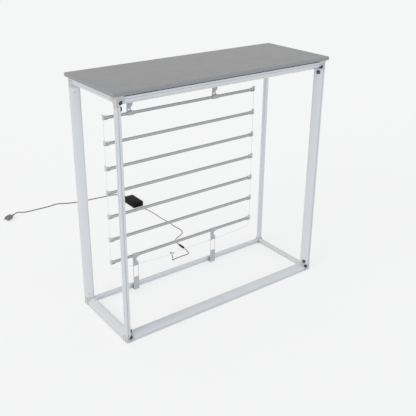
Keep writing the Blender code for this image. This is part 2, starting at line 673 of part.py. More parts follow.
def make_led_bars(finish):
    """Channels that are open to the front, each with a clip moulded round either end."""
    back = BAR_DEPTH / 2
    half = BAR_HEIGHT / 2
    outline = [
        (-back, -half), (back, -half), (back, half), (-back, half), (-back, half - BAR_WALL),
        (back - BAR_WALL, half - BAR_WALL), (back - BAR_WALL, BAR_WALL - half),
        (-back, BAR_WALL - half),
    ]
    for number, height in enumerate(BAR_HEIGHTS, start=1):
        name = "led_bar_{}".format(number)
        place = (0.0, LADDER_Y, height)
        bm = bmesh.new()
        extrude_outline(bm, [(-BAR_HALF, y, z) for y, z in outline], (2 * BAR_HALF, 0.0, 0.0))
        bar = add_object(name, bm, finish, place)
        for side_name, side in SIDES:
            clip = add_cutter("{}_clip_{}".format(name, side_name), end_clip(side), place)
            combine(bar, clip, "UNION")
            bm = bmesh.new()
            x = side * (LADDER_HALF - SIDE_LEAD_INSET)
            add_bar(bm, (x, 0.0, -CLIP_BOTTOM - OVERRUN), (x, 0.0, CLIP_HORN_RISE + OVERRUN),
                    SIDE_LEAD_RADIUS + GAP, SMALL_SIDES)
            hole = add_cutter("{}_lead_hole_{}".format(name, side_name), bm, place)
            combine(bar, hole, "DIFFERENCE")


def make_side_leads(finish):
    """The lead down each side of the ladder, through the end clips of all the bars."""
    for side_name, side in SIDES:
        bm = bmesh.new()
        x = side * (LADDER_HALF - SIDE_LEAD_INSET)
        add_bar(bm, (x, LADDER_Y, BAR_HEIGHTS[-1] - CLIP_BOTTOM + SIDE_LEAD_END),
                (x, LADDER_Y, BAR_HEIGHTS[0] + CLIP_HORN_RISE - SIDE_LEAD_END),
                SIDE_LEAD_RADIUS, SMALL_SIDES)
        add_object("side_lead_" + side_name, bm, finish)


def bar_grip_outline():
    """The part of a hanger round a bar, as (y, z) from the bar's middle, ending at the rear top."""
    front = -BAR_DEPTH / 2 - GAP
    level = BAR_HEIGHT / 2 + GAP
    outer = level + CLIP_WALL
    return [
        (BAR_DEPTH / 2, -level), (BAR_DEPTH / 2, -outer), (front - CLIP_WALL, -outer),
        (front - CLIP_WALL, outer), (-HANGER_PLATE / 2, outer), (HANGER_PLATE / 2, outer),
        (BAR_DEPTH / 2, outer), (BAR_DEPTH / 2, level), (front, level), (front, -level),
    ]


def notch_points(rise):
    """The hollow in a hanger's right edge, as (rise, reach) from its bar's side to its free side."""
    middle = HANGER_WAIST - HANGER_WIDTH / 2 + HANGER_NOTCH_RADIUS
    last = math.acos((HANGER_WIDTH / 2 - middle) / HANGER_NOTCH_RADIUS)
    points = []
    for step in range(NOTCH_STEPS + 1):
        angle = -math.pi / 2 - (3 * math.pi / 2 - last) * step / NOTCH_STEPS
        points.append((rise + HANGER_NOTCH_RADIUS * math.sin(angle),
                       middle + HANGER_NOTCH_RADIUS * math.cos(angle)))
    return points


def add_hanger(name, place, outline, right_edge, end, finish):
    """A hanger of one side outline, as (y, z) about its bar, cut to its right edge, with a flange.

    The right edge is given as (height, reach), and the flange runs along the left edge from the
    grip to the height of the hanger's end.
    """
    x, middle = place
    left = x - HANGER_WIDTH / 2
    reach = max(across for height, across in right_edge) + OVERRUN
    points = [(left, LADDER_Y + y, middle + z) for y, z in outline]
    bm = bmesh.new()
    extrude_outline(bm, points, (x + reach - left, 0.0, 0.0))
    hanger = add_object(name, bm, finish)
    front = [(x + across, 0.0, middle + height) for height, across in right_edge]
    front.append((left - OVERRUN, 0.0, front[-1][2]))
    front.append((left - OVERRUN, 0.0, front[0][2]))
    bm = bmesh.new()
    extrude_outline(bm, front, (0.0, FRAME_DEPTH / 2, 0.0))
    combine(hanger, add_cutter(name + "_shape", bm), "INTERSECT")
    grip_middle = math.copysign(BAR_HEIGHT / 2 + GAP + CLIP_WALL / 2, end)
    low, high = sorted((grip_middle, end))
    bm = bmesh.new()
    add_block(bm, (left, LADDER_Y - BAR_DEPTH / 2 - GAP - CLIP_WALL, middle + low),
              (left + HANGER_FLANGE, LADDER_Y, middle + high))
    combine(hanger, add_cutter(name + "_flange", bm), "UNION")
    return hanger


def make_top_hooks(finish):
    """Hooks from the top bar over the top rail at the back, each with a tooth in its groove."""
    groove_y = FRAME_DEPTH / 2 - GROOVE_INSET - LADDER_Y
    tooth = GROOVE_WIDTH / 2 - GAP
    lip = FRAME_HEIGHT + GAP - TOP_BAR_Z
    tooth_bottom = FRAME_HEIGHT - GROOVE_DEPTH + GAP - TOP_BAR_Z
    grip = bar_grip_outline()
    stem = [
        (-HANGER_PLATE / 2, lip + TOP_HOOK_LIP), (groove_y + tooth, lip + TOP_HOOK_LIP),
        (groove_y + tooth, tooth_bottom), (groove_y - tooth, tooth_bottom),
        (groove_y - tooth, lip), (HANGER_PLATE / 2, lip),
    ]
    right_edge = [(-BAR_HEIGHT, TOP_HOOK_FOOT_REACH),
                  (BAR_HEIGHT / 2 + CLIP_WALL + GAP, TOP_HOOK_FOOT_REACH)]
    right_edge += notch_points(TOP_HOOK_NOTCH_RISE)
    right_edge.append((BAR_DROP + PAD_HEIGHT, HANGER_WIDTH / 2))
    for side_name, x in HANGERS:
        name = "top_hook_" + side_name
        outline = grip[:5] + stem + grip[5:]
        hook = add_hanger(name, (x, TOP_BAR_Z), outline, right_edge, lip, finish)
        bm = bmesh.new()
        hole_x = x - TOP_HOOK_HOLE_OFFSET
        height = TOP_BAR_Z + TOP_HOOK_HOLE_RISE
        add_bar(bm, (hole_x, LADDER_Y - HANGER_PLATE, height),
                (hole_x, LADDER_Y + HANGER_PLATE, height), TOP_HOOK_HOLE_DIAMETER / 2, ROUND_SIDES)
        combine(hook, add_cutter(name + "_hole", bm), "DIFFERENCE")


def make_bar_clips(finish):
    """Clips under the lowest bar that carry the elastics."""
    grip = [(y, -z) for y, z in bar_grip_outline()]
    stem = [(-HANGER_PLATE / 2, -BAR_CLIP_FOOT_DROP), (HANGER_PLATE / 2, -BAR_CLIP_FOOT_DROP)]
    notch = notch_points(BAR_CLIP_NOTCH_DROP)
    right_edge = [(-BAR_HEIGHT, notch[0][1])] + notch
    right_edge.append((BAR_CLIP_FOOT_DROP + OVERRUN, HANGER_WIDTH / 2))
    downwards = [(-height, across) for height, across in right_edge]
    for side_name, x in HANGERS:
        outline = grip[:5] + stem + grip[5:]
        add_hanger("bar_clip_" + side_name, (x, BAR_HEIGHTS[-1]), outline, downwards,
                   -BAR_CLIP_FOOT_DROP, finish)


def make_elastics(finish):
    """A loop of elastic on each side, from the bar clip down to the lower hook and up again."""
    low = LOWER_HOOK_TOP + GAP + ELASTIC_RADIUS
    high = ELASTIC_TOP - GAP
    for side_name, x in HANGERS:
        left = x - ELASTIC_SPACING / 2
        right = x + ELASTIC_SPACING / 2
        route = [(left, high), (left, low), (right, low), (right, high)]
        add_tube("elastic_" + side_name, [(px, LADDER_Y, pz) for px, pz in route],
                 ELASTIC_RADIUS, finish)


def make_lower_hooks(finish):
    """The hooks that the elastics pull up under the nose of the bottom rail at the back."""
    tip_y = FRAME_DEPTH / 2 - LOWER_HOOK_TIP_INSET
    flank = (LOWER_HOOK_TIP_INSET - LEG) * FLANK_SLOPE
    tip_top = flank - (FLANK_BULGE + GAP) / FLANK_ALONG.x
    half = HANGER_PLATE / 2
    lip_top = LOWER_HOOK_BOTTOM + HANGER_PLATE
    outline = [
        (LADDER_Y - half, LOWER_HOOK_TOP), (LADDER_Y - half, LOWER_HOOK_BOTTOM),
        (tip_y, LOWER_HOOK_BOTTOM), (tip_y, tip_top), (tip_y - HANGER_PLATE, tip_top),
        (tip_y - HANGER_PLATE, lip_top), (LADDER_Y + half, lip_top),
        (LADDER_Y + half, LOWER_HOOK_TOP),
    ]
    for side_name, x in HANGERS:
        bm = bmesh.new()
        points = [(x - LOWER_HOOK_WIDTH / 2, y, z) for y, z in outline]
        extrude_outline(bm, points, (LOWER_HOOK_WIDTH, 0.0, 0.0))
        add_object("lower_hook_" + side_name, bm, finish)


def smooth_route(route, spacing):
    """Evenly spaced points on a smooth curve through a route's points."""
    points = [Vector(point) for point in route]
    ends = [2 * points[0] - points[1]] + points + [2 * points[-1] - points[-2]]
    fine = [points[0]]
    steps = 24
    for before, start, finish, after in zip(ends, ends[1:], ends[2:], ends[3:]):
        for step in range(1, steps + 1):
            t = step / steps
            fine.append(0.5 * (
                2 * start + (finish - before) * t
                + (2 * before - 5 * start + 4 * finish - after) * t ** 2
                + (3 * start - before - 3 * finish + after) * t ** 3))
    lengths = [0.0]
    for start, finish in zip(fine, fine[1:]):
        lengths.append(lengths[-1] + (finish - start).length)
    count = min(MOST_ROUTE_POINTS, max(3, round(lengths[-1] / spacing)))
    spaced = []
    index = 0
    for step in range(count):
        target = lengths[-1] * step / (count - 1)
        while index < len(lengths) - 2 and lengths[index + 1] < target:
            index += 1
        share = (target - lengths[index]) / (lengths[index + 1] - lengths[index])
        spaced.append(fine[index].lerp(fine[index + 1], share))
    return spaced


def add_tube(name, points, radius, finish):
    """A round tube along a line of points, closed at both ends."""
    curve = bpy.data.curves.new(name, "CURVE")
    curve.dimensions = "3D"
    curve.bevel_depth = radius
    curve.bevel_resolution = TUBE_RESOLUTION
    curve.use_fill_caps = True
    line = curve.splines.new("POLY")
    line.points.add(len(points) - 1)
    for item, point in zip(line.points, points):
        item.co = (*point, 1.0)
    curve.materials.append(finish)
    tube = bpy.data.objects.new(name, curve)
    bpy.context.collection.objects.link(tube)


def make_lead(name, route, diameter, finish):
    points = smooth_route(route, diameter * ROUTE_STEPS_PER_DIAMETER)
    add_tube(name, points, diameter / 2, finish)


def make_leads(white, black):
    make_lead("white_lead_left", WHITE_LEAD_LEFT_ROUTE, WHITE_LEAD_DIAMETER, white)
    make_lead("white_lead_right", WHITE_LEAD_RIGHT_ROUTE, WHITE_LEAD_DIAMETER, white)
    make_lead("dc_tail", DC_TAIL_ROUTE, DC_DIAMETER, black)
    make_lead("dc_lead", DC_LEAD_ROUTE, DC_DIAMETER, black)
    make_lead("ac_lead", AC_LEAD_ROUTE, AC_DIAMETER, black)


def make_lead_junction(finish):
    bm = bmesh.new()
    size = Vector((JUNCTION_LENGTH, JUNCTION_WIDTH, JUNCTION_WIDTH)) / 2
    add_block(bm, -size, size)
    bmesh.ops.bevel(bm, geom=bm.edges[:], offset=JUNCTION_EDGE, segments=2, profile=0.5,
                    affect="EDGES")
    return add_object("lead_junction", bm, finish, JUNCTION_PLACE)


def make_dc_connector(finish, metal):
    """An inline socket on the tail and the plug that is pushed into it, with its metal barrel."""
    frame = turned_frame(SOCKET_PLACE, SOCKET_HEADING)
    half = SOCKET_LENGTH / 2
    radius = SOCKET_DIAMETER / 2
    bore = BARREL_DIAMETER / 2 + GAP
    bm = bmesh.new()
    profile = [
        (-half, PLUG_NECK_DIAMETER / 2, False), (PLUG_NECK_LENGTH / 2 - half, radius, False),
        (half, radius, False), (half, bore, False), (half - BARREL_LENGTH - GAP, bore, False),
    ]
    add_turned(bm, profile, ROUND_SIDES, frame)
    add_object("dc_socket", bm, finish)
    bm = bmesh.new()
    start = half + GAP
    neck = start + PLUG_LENGTH - PLUG_NECK_LENGTH
    profile = [
        (start - BARREL_LENGTH, BARREL_DIAMETER / 2, False), (start, BARREL_DIAMETER / 2, False),
        (start, PLUG_DIAMETER / 2, False), (neck, PLUG_DIAMETER / 2, False),
        (neck, PLUG_NECK_DIAMETER / 2, False), (start + PLUG_LENGTH, PLUG_NECK_DIAMETER / 2, False),
    ]
    add_turned(bm, profile, ROUND_SIDES, frame)
    add_object("dc_plug", bm, finish)


def add_adaptor_hollow(shell, name, margin, low, high):
    """Cuts a box out of a half of the casing, a margin inside its sides."""
    x, y = ADAPTOR_PLACE
    half_x = ADAPTOR_WIDTH / 2 - margin
    half_y = ADAPTOR_LENGTH / 2 - margin
    bm = bmesh.new()
    add_block(bm, (x - half_x, y - half_y, low), (x + half_x, y + half_y, high))
    combine(shell, add_cutter(name, bm), "DIFFERENCE")


def make_adaptor(shell_finish, board_finish):
    """A two-part casing on the floor with a board on a ledge round its inside."""
    x, y = ADAPTOR_PLACE
    half_x = ADAPTOR_WIDTH / 2
    half_y = ADAPTOR_LENGTH / 2
    split = ADAPTOR_HEIGHT / 2
    shells = []
    for name, low, high, outer in (("adaptor_base", 0.0, split - GAP / 2, 0.0),
                                   ("adaptor_cover", split + GAP / 2, ADAPTOR_HEIGHT, ADAPTOR_HEIGHT)):
        bm = bmesh.new()
        add_block(bm, (x - half_x, y - half_y, low), (x + half_x, y + half_y, high))
        rounded = [edge for edge in bm.edges
                   if abs(edge.verts[0].co.z - edge.verts[1].co.z) > GAP
                   or abs(edge.verts[0].co.z - outer) < GAP]
        bmesh.ops.bevel(bm, geom=rounded, offset=ADAPTOR_EDGE, segments=2, profile=0.5,
                        affect="EDGES")
        shells.append(add_object(name, bm, shell_finish))
    base, cover = shells
    ledge = ADAPTOR_WALL + ADAPTOR_LEDGE_WIDTH
    top = ADAPTOR_HEIGHT - ADAPTOR_WALL
    add_adaptor_hollow(base, "base_well", ledge, ADAPTOR_WALL, split + OVERRUN)
    add_adaptor_hollow(base, "base_mouth", ADAPTOR_WALL, ADAPTOR_LEDGE_HEIGHT, split + OVERRUN)
    add_adaptor_hollow(cover, "cover_hollow", ADAPTOR_WALL, split - OVERRUN, top)
    half_x -= ADAPTOR_WALL + GAP
    half_y -= ADAPTOR_WALL + GAP
    board_low = ADAPTOR_LEDGE_HEIGHT + GAP
    board_top = board_low + BOARD_THICKNESS
    bm = bmesh.new()
    add_block(bm, (x - half_x, y - half_y, board_low), (x + half_x, y + half_y, board_top))
    board = add_object("adaptor_board", bm, board_finish)
    bm = bmesh.new()
    add_block(bm, (x - COIL_WIDTH / 2, y - COIL_LENGTH / 2, board_low + BOARD_THICKNESS / 2),
              (x + COIL_WIDTH / 2, y + COIL_LENGTH / 2, board_top + COIL_HEIGHT))
    combine(board, add_cutter("adaptor_coil", bm), "UNION")


def make_adaptor_reliefs(finish):
    """Tapered sleeves where the two leads leave the casing."""
    x, y = ADAPTOR_PLACE
    height = ADAPTOR_HEIGHT / 2 - OVERRUN
    for name, direction, length, diameter in (("dc_relief", -1, DC_RELIEF_LENGTH, DC_DIAMETER),
                                              ("ac_relief", 1, AC_RELIEF_LENGTH, AC_DIAMETER)):
        bm = bmesh.new()
        start = (x, y + direction * (ADAPTOR_LENGTH / 2 + GAP), height)
        profile = [(0.0, RELIEF_DIAMETER / 2, False), (length, diameter / 2 + GAP, False)]
        add_turned(bm, profile, ROUND_SIDES, turned_frame(start, (0.0, direction, 0.0)))
        add_object(name, bm, finish)


def make_mains_plug(finish):
    """A mains plug lying on its side, with a tapered relief and two round pins."""
    frame = turned_frame(MAINS_PLUG_START, MAINS_PLUG_HEADING)
    width = MAINS_PLUG_WIDTH / 2
    thin = MAINS_PLUG_HEIGHT / MAINS_PLUG_WIDTH
    back = AC_RELIEF_LENGTH
    shoulder = back + MAINS_PLUG_SHOULDER
    face = back + MAINS_PLUG_LENGTH
    bm = bmesh.new()
    profile = [
        (0.0, AC_DIAMETER / 2 + GAP, False), (back, RELIEF_DIAMETER / 2, False),
        (back + OVERRUN, width - MAINS_PLUG_SHOULDER / 2, False), (shoulder, width, False),
        (face - OVERRUN, width, False), (face, width - OVERRUN, False),
    ]
    add_turned(bm, profile, ROUND_SIDES, frame, thin)
    plug = add_object("ac_plug", bm, finish)
    for side_name, side in SIDES:
        offset = side * MAINS_PIN_SPACING / 2
        bm = bmesh.new()
        add_bar(bm, frame @ Vector((offset, 0.0, face - OVERRUN)),
                frame @ Vector((offset, 0.0, face + MAINS_PIN_LENGTH)),
                MAINS_PIN_DIAMETER / 2, SMALL_SIDES)
        combine(plug, add_cutter("ac_plug_pin_" + side_name, bm), "UNION")


def build():
    clear_scene()
    aluminium = material("anodised aluminium", (0.62, 0.65, 0.69), 0.38, 0.9)
    cast = material("cast connector", (0.55, 0.50, 0.48), 0.45, 0.6)
    dark = material("dark lock", (0.012, 0.020, 0.050), 0.35)
    laminate = material("grey laminate", (0.31, 0.31, 0.30), 0.55)
    grey = material("grey plastic", (0.38, 0.39, 0.40), 0.5)
    white = material("white plastic", (0.75, 0.75, 0.74), 0.45)
    elastic = material("elastic cord", (0.42, 0.42, 0.42), 0.8)
    black = material("black plastic", (0.012, 0.012, 0.012), 0.45)
    plug_grey = material("dark grey plastic", (0.20, 0.20, 0.20), 0.5)
    green = material("circuit board", (0.02, 0.12, 0.05), 0.5)
    make_frame(aluminium)
    make_connectors(cast)
    make_locks(dark)
    make_countertop(laminate)
    make_led_bars(aluminium)
    make_side_leads(white)
    make_top_hooks(grey)
    make_bar_clips(grey)
    make_elastics(elastic)
    make_lower_hooks(grey)
    make_leads(white, black)
    make_lead_junction(grey)
    make_dc_connector(black, grey)
    make_adaptor(black, green)
    make_adaptor_reliefs(black)
    make_mains_plug(plug_grey)


if __name__ == "__main__":
    build()
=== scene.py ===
"""A backlit exhibition counter: its finished surfaces, its power leads and a plain pale studio.

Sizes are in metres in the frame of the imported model: +X is the right-hand end, -Y the front and +Z
up. Each corner of the counter is drawn in its own inward octant and reflected into place.
"""

import math

import bmesh
import bpy
from mathutils import Matrix, Vector


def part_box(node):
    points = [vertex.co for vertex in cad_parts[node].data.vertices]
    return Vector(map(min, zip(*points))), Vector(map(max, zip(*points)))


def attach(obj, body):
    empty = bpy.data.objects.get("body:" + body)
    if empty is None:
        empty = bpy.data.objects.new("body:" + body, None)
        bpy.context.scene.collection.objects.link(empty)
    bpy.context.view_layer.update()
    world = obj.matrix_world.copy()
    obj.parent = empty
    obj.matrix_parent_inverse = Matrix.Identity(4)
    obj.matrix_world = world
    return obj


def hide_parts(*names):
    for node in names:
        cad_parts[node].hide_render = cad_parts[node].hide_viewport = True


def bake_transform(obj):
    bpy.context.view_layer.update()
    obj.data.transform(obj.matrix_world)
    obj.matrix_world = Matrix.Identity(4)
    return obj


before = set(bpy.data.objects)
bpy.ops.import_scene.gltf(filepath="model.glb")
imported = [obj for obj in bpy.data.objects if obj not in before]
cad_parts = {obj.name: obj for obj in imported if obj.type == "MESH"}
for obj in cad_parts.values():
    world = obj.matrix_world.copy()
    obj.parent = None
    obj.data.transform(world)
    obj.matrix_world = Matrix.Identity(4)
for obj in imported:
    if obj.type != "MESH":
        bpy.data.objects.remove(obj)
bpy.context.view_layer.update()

bl_info = {
    "name": "Backlit Exhibition Counter",
    "version": (1, 0, 0),
    "blender": (4, 5, 0),
    "location": "3D View > Sidebar > Counter",
    "description": "Builds the finished surfaces of an exhibition counter round its packed frame",
    "category": "Object",
}

MERGE_DISTANCE = 1e-6
FLAT_ANGLE = math.radians(1.0)
SOFTENED_ANGLE = math.radians(40.0)
ROUTE_STEPS = 24
BUMP_DISTANCE = 0.0002
HEIGHT_AND_MASK = [("Height", "Float"), ("Mask", "Float")]

# Frame section and corners
LEG = 0.0165
NOSE_REACH = 0.0325
NOSE_RADIUS = 0.005
NOSE_ARC_START = math.radians(-20.0)
FLANK_BULGE = 0.0012
EDGE_RADIUS = 0.0015
GROOVE_INSET = 0.0085
GROOVE_WIDTH = 0.0018
GROOVE_DEPTH = 0.0022
WALL = 0.0016
NOSE_CENTRE = NOSE_REACH - NOSE_RADIUS
NOSE_START = (NOSE_CENTRE + NOSE_RADIUS * math.cos(NOSE_ARC_START),
              NOSE_CENTRE + NOSE_RADIUS * math.sin(NOSE_ARC_START))
NOSE_SWEEP = math.pi / 2 - 2 * NOSE_ARC_START
FLANK_FOOT = Vector((LEG, 0.0))
FLANK_NOSE = Vector(NOSE_START)
FLANK_CHORD = FLANK_NOSE - FLANK_FOOT
FLANK_OUT = Vector((FLANK_CHORD.y, -FLANK_CHORD.x)).normalized()
MEMBER_START = 0.0343
MEMBER_SHARP = 24.0
SNAP_HOLE_RADIUS = 0.0025
SNAP_HOLE_INSET = 0.012
SNAP_HOLE_FROM_END = 0.052
LOCK_RADIUS = 0.0078
LOCK_GAP = 0.0003
POST_LOCK_FROM_END = 0.0435
POST_LOCK_SEAT = 0.0028
LOCK_HEAD = 0.0075
CORNER_LOCK_SEAT = (0.0198, 0.0100, 0.020)
SOCKET_RADIUS = 0.0030
SOCKET_FROM_TOP = 0.0006
SOCKET_DEPTH = 0.0018
SOCKET_REACH = 0.0033
LOCK_PROFILE = [
    (-0.010, 0.0), (-0.010, 0.0026), (-0.0096, 0.003), (0.0, 0.003), (0.0, LOCK_RADIUS - 0.0003),
    (0.0003, LOCK_RADIUS), (LOCK_HEAD - 0.0009, LOCK_RADIUS),
    (LOCK_HEAD - 0.0004, LOCK_RADIUS - 0.0002), (LOCK_HEAD - 0.0001, LOCK_RADIUS - 0.0006),
    (LOCK_HEAD, LOCK_RADIUS - 0.0012), (LOCK_HEAD - 0.0001, LOCK_RADIUS - 0.0018),
    (LOCK_HEAD - 0.0005, LOCK_RADIUS - 0.0022), (LOCK_HEAD - SOCKET_FROM_TOP, 0.0046),
]

FRAME_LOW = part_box("connector_bottom_front_left")[0]
FRAME_HALF_X = -FRAME_LOW.x
FRAME_HALF_Y = -FRAME_LOW.y
FRAME_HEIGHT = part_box("post_front_left")[1].z + MEMBER_START

# Countertop and LED ladder
TOP_LOW, TOP_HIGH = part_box("countertop")
TOP_THICKNESS = 0.014
TOP_CORNER_RADIUS = 0.006
TOP_RIM_RADIUS = 0.0025
BLOCK_PLACE = (0.360, 0.1444)
BLOCK_HALF = (0.020, 0.006)
BLOCK_SOFTNESS = 0.0015
SCREW_SHIFT = 0.012
SCREW_PROFILE = [(0.0, 0.0), (0.0, 0.0011), (-0.0008, 0.0012), (-0.0006, 0.0032),
                 (0.0002, 0.0034), (0.0004, 0.0037), (-0.0010, 0.0038)]
BLOCK_OVERLAP = 0.0004
SCREW_SEAT = 0.0004
LADDER_Y = 0.1324
LADDER_HALF = 0.3795
BAR_HEIGHT = 0.011
BAR_DEPTH = 0.008
BAR_WALL = 0.0013
BAR_END_INSET = 0.0058
MOUTH_ROUND = 0.0004
BACK_ROUND = 0.0008
CLIP_DEPTH = 0.011
CLIP_REACH = 0.020
CLIP_WALL = 0.0018
CLIP_GAP = 0.0001
CLIP_STOP = 0.006
CLIP_FOOT = 0.003
CLIP_FOOT_LENGTH = 0.005
HORN_RISE = 0.0135
CLIP_SOFTNESS = 0.0004
HORN_PROFILE = [(0.012, BAR_HEIGHT / 2 + CLIP_WALL), (0.0056, 0.0092), (0.0028, HORN_RISE)]
LEAD_INSET = 0.003
LEAD_RADIUS = 0.001
LEAD_HOLE_RADIUS = 0.0013
STRIP_INSET = 0.0065
STRIP_HALF_HEIGHT = 0.0036
STRIP_THICKNESS = 0.0010
STRIP_GAP = 0.0003
LED_HALF = (0.0018, 0.0014)
LED_FOOT = 0.0012
LED_TOP = 0.0020
LENS_HALF_HEIGHT = 0.0041
LENS_INSET = 0.0004
ELASTIC_RADIUS = 0.0011
ELASTIC_BEND = 0.004
ELASTIC_SIDES = 16
BRAID_LENGTH = 0.012
BAR_COUNT = sum(name.startswith("led_bar_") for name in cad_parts)
BAR_HEIGHTS = [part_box(f"led_bar_{number + 1}")[1].z - HORN_RISE for number in range(BAR_COUNT)]

# Studio, with the camera as it was solved from the photograph, in pixels
PHOTO_SIDE = 416.0
FOCAL_LENGTH = 647.4953
OPTICAL_CENTRE = (192.909, 186.665)
SENSOR_WIDTH = 36.0
CAMERA_PLACE = Vector((-1.47960, -1.99533, 1.53007))
CAMERA_AIM = Vector((-0.04996, 0.0, 0.48845))
FLOOR_RADIUS = 60.0
LAMP_ANGLE = math.radians(40.0)
KEY_SOURCE = (-3.4, -0.4, 2.1)
COOL_SOURCE = (0.9, -3.6, 0.9)
COOL_TINT = (0.50, 0.74, 1.0)

SIDES = (("left", -1), ("right", 1))
FACES = (("front", -1), ("back", 1))
LEVELS = (("bottom", -1), ("top", 1))

# Routes of the leads, from end to end
WHITE_LEAD_LEFT_ROUTE = [
    (-0.3765, 0.1324, 0.1691), (-0.3762, 0.1326, 0.1620), (-0.3725, 0.1335, 0.1500),
    (-0.3620, 0.1350, 0.1400), (-0.3440, 0.1357, 0.1340), (-0.3200, 0.1360, 0.1310),
    (-0.2960, 0.1361, 0.1292), (-0.2700, 0.1361, 0.1275), (-0.2400, 0.1361, 0.1255),
    (-0.2000, 0.1358, 0.1238), (-0.1600, 0.1350, 0.1226), (-0.1200, 0.1335, 0.1221),
    (-0.0950, 0.1326, 0.1222), (-0.0749, 0.1324, 0.1225),
]
WHITE_LEAD_RIGHT_ROUTE = [
    (-0.0603, 0.1324, 0.1228), (-0.0420, 0.1332, 0.1240), (0.0000, 0.1350, 0.1250),
    (0.0400, 0.1358, 0.1248), (0.0800, 0.1361, 0.1244), (0.1200, 0.1361, 0.1240),
    (0.1610, 0.1361, 0.1240), (0.2000, 0.1361, 0.1244), (0.2400, 0.1360, 0.1252),
    (0.2800, 0.1358, 0.1265), (0.3200, 0.1354, 0.1288), (0.3500, 0.1348, 0.1330),
    (0.3690, 0.1340, 0.1415), (0.3765, 0.1330, 0.1530), (0.3770, 0.1325, 0.1620),
    (0.3765, 0.1324, 0.1691),
]
DC_TAIL_ROUTE = [
    (-0.0676, 0.1363, 0.1225), (-0.0676, 0.1457, 0.1225), (-0.0630, 0.1550, 0.1130),
    (-0.0510, 0.1650, 0.0980), (-0.0380, 0.1790, 0.0800), (-0.0250, 0.1960, 0.0600),
    (-0.0120, 0.2150, 0.0400), (0.0000, 0.2360, 0.0200), (0.0120, 0.2520, 0.0080),
    (0.0270, 0.2610, 0.0030), (0.0450, 0.2650, 0.0020), (0.0700, 0.2665, 0.0020),
    (0.0950, 0.2655, 0.0020), (0.1120, 0.2675, 0.0020), (0.1215, 0.2760, 0.0020),
    (0.1245, 0.2890, 0.0022), (0.1255, 0.3000, 0.0040), (0.1262, 0.3127, 0.0052),
    (0.1266, 0.3221, 0.0052),
]
DC_LEAD_ROUTE = [
    (0.1286, 0.3732, 0.0052), (0.1290, 0.3826, 0.0052), (0.1340, 0.3990, 0.0028),
    (0.1410, 0.4140, 0.0020), (0.1490, 0.4270, 0.0020), (0.1640, 0.4380, 0.0020),
    (0.1860, 0.4470, 0.0020), (0.2070, 0.4590, 0.0020), (0.2230, 0.4760, 0.0020),
    (0.2290, 0.4980, 0.0020), (0.2290, 0.5250, 0.0020), (0.2268, 0.5500, 0.0020),
    (0.2270, 0.5750, 0.0020), (0.2300, 0.5980, 0.0020), (0.2270, 0.6280, 0.0020),
    (0.2240, 0.6700, 0.0020), (0.2235, 0.7200, 0.0020), (0.2230, 0.7700, 0.0020),
    (0.2185, 0.8050, 0.0030), (0.2080, 0.8250, 0.0070), (0.2015, 0.8380, 0.0118),
    (0.2000, 0.8468, 0.0130), (0.2000, 0.8563, 0.0130),
]
AC_LEAD_ROUTE = [
    (0.2000, 1.0187, 0.0130), (0.2000, 1.0320, 0.0130), (0.1997, 1.0440, 0.0100),
    (0.1985, 1.0560, 0.0055), (0.1955, 1.0690, 0.0030), (0.1880, 1.0850, 0.0028),
    (0.1740, 1.0975, 0.0028), (0.1500, 1.1045, 0.0028), (0.1225, 1.1080, 0.0028),
    (0.0715, 1.1150, 0.0028),
    (0.0240, 1.1200, 0.0028), (-0.0190, 1.1255, 0.0028), (-0.0550, 1.1320, 0.0028),
    (-0.1125, 1.1530, 0.0028), (-0.1400, 1.1690, 0.0028), (-0.1650, 1.1760, 0.0028),
    (-0.2070, 1.1710, 0.0028), (-0.2560, 1.1720, 0.0028), (-0.2990, 1.1740, 0.0028),
    (-0.3380, 1.1745, 0.0035), (-0.3650, 1.1772, 0.0070), (-0.3840, 1.1777, 0.0120),
    (-0.3965, 1.1734, 0.0140), (-0.4077, 1.1668, 0.0140),
]
SOCKET_PLACE = (0.1271, 0.3355, 0.0052)
SOCKET_HEADING = (0.04, 1.0, 0.0)
ADAPTOR_PLACE = (0.200, 0.9315, 0.0130)
ADAPTOR_HALF_LENGTH = 0.0585
SOCKET_HALF_LENGTH = 0.013
SOCKET_GRIP_RADIUS = 0.0050
PLUG_GRIP_RADIUS = 0.0045
RIB_PITCH = 0.0022
RIB_DEPTH = 0.0004
JUNCTION_SOFTNESS = 0.0003
CASING_SOFTNESS = 0.0005
DC_RELIEF_LENGTH = 0.016
AC_RELIEF_LENGTH = 0.028
RELIEF_ROOT_RADIUS = 0.0055
SEAT_GAP = 0.0003
MAINS_PLUG_START = (-0.4083, 1.1664, 0.0140)
MAINS_PLUG_HEADING = (-0.86, -0.51, 0.0)
MAINS_PLUG_FLATNESS = 28.0 / 36.0
MAINS_RELIEF_LENGTH = 0.028
MAINS_RELIEF_RADII = (0.0028, 0.0055)
MAINS_GRIP_PROFILE = [
    (MAINS_RELIEF_LENGTH, MAINS_RELIEF_RADII[1]), (0.0292, 0.0085), (0.031, 0.0112),
    (0.034, 0.0140), (0.037, 0.0160), (0.040, 0.0172), (0.043, 0.0176), (0.0475, 0.0173),
    (0.052, 0.0171), (0.058, 0.0174), (0.0635, 0.0176), (0.0652, 0.0172), (0.066, 0.0165),
    (0.066, 0.0),
]
PIN_SHIFT = 0.0095
PIN_START = 0.0655
PIN_SLEEVE_END = 0.0751
PIN_PROFILE = [(0.0, 0.0), (0.0, 0.0024), (0.0095, 0.0024), (0.0097, 0.0023), (0.0180, 0.0023),
               (0.0190, 0.0019), (0.0194, 0.0010), (0.0195, 0.0)]


def linear(red, green, blue):
    """A scene colour from three display values of 0 to 255."""
    shares = [value / 255.0 for value in (red, green, blue)]
    return tuple(s / 12.92 if s <= 0.04045 else ((s + 0.055) / 1.055) ** 2.4 for s in shares)


def colour_property(name, description, shade):
    return bpy.props.FloatVectorProperty(
        name=name, description=description, default=linear(*shade), size=3, min=0.0, max=1.0,
        subtype="COLOR")


def length_property(name, description, default):
    return bpy.props.FloatProperty(
        name=name, description=description, default=default, min=0.0, unit="LENGTH")


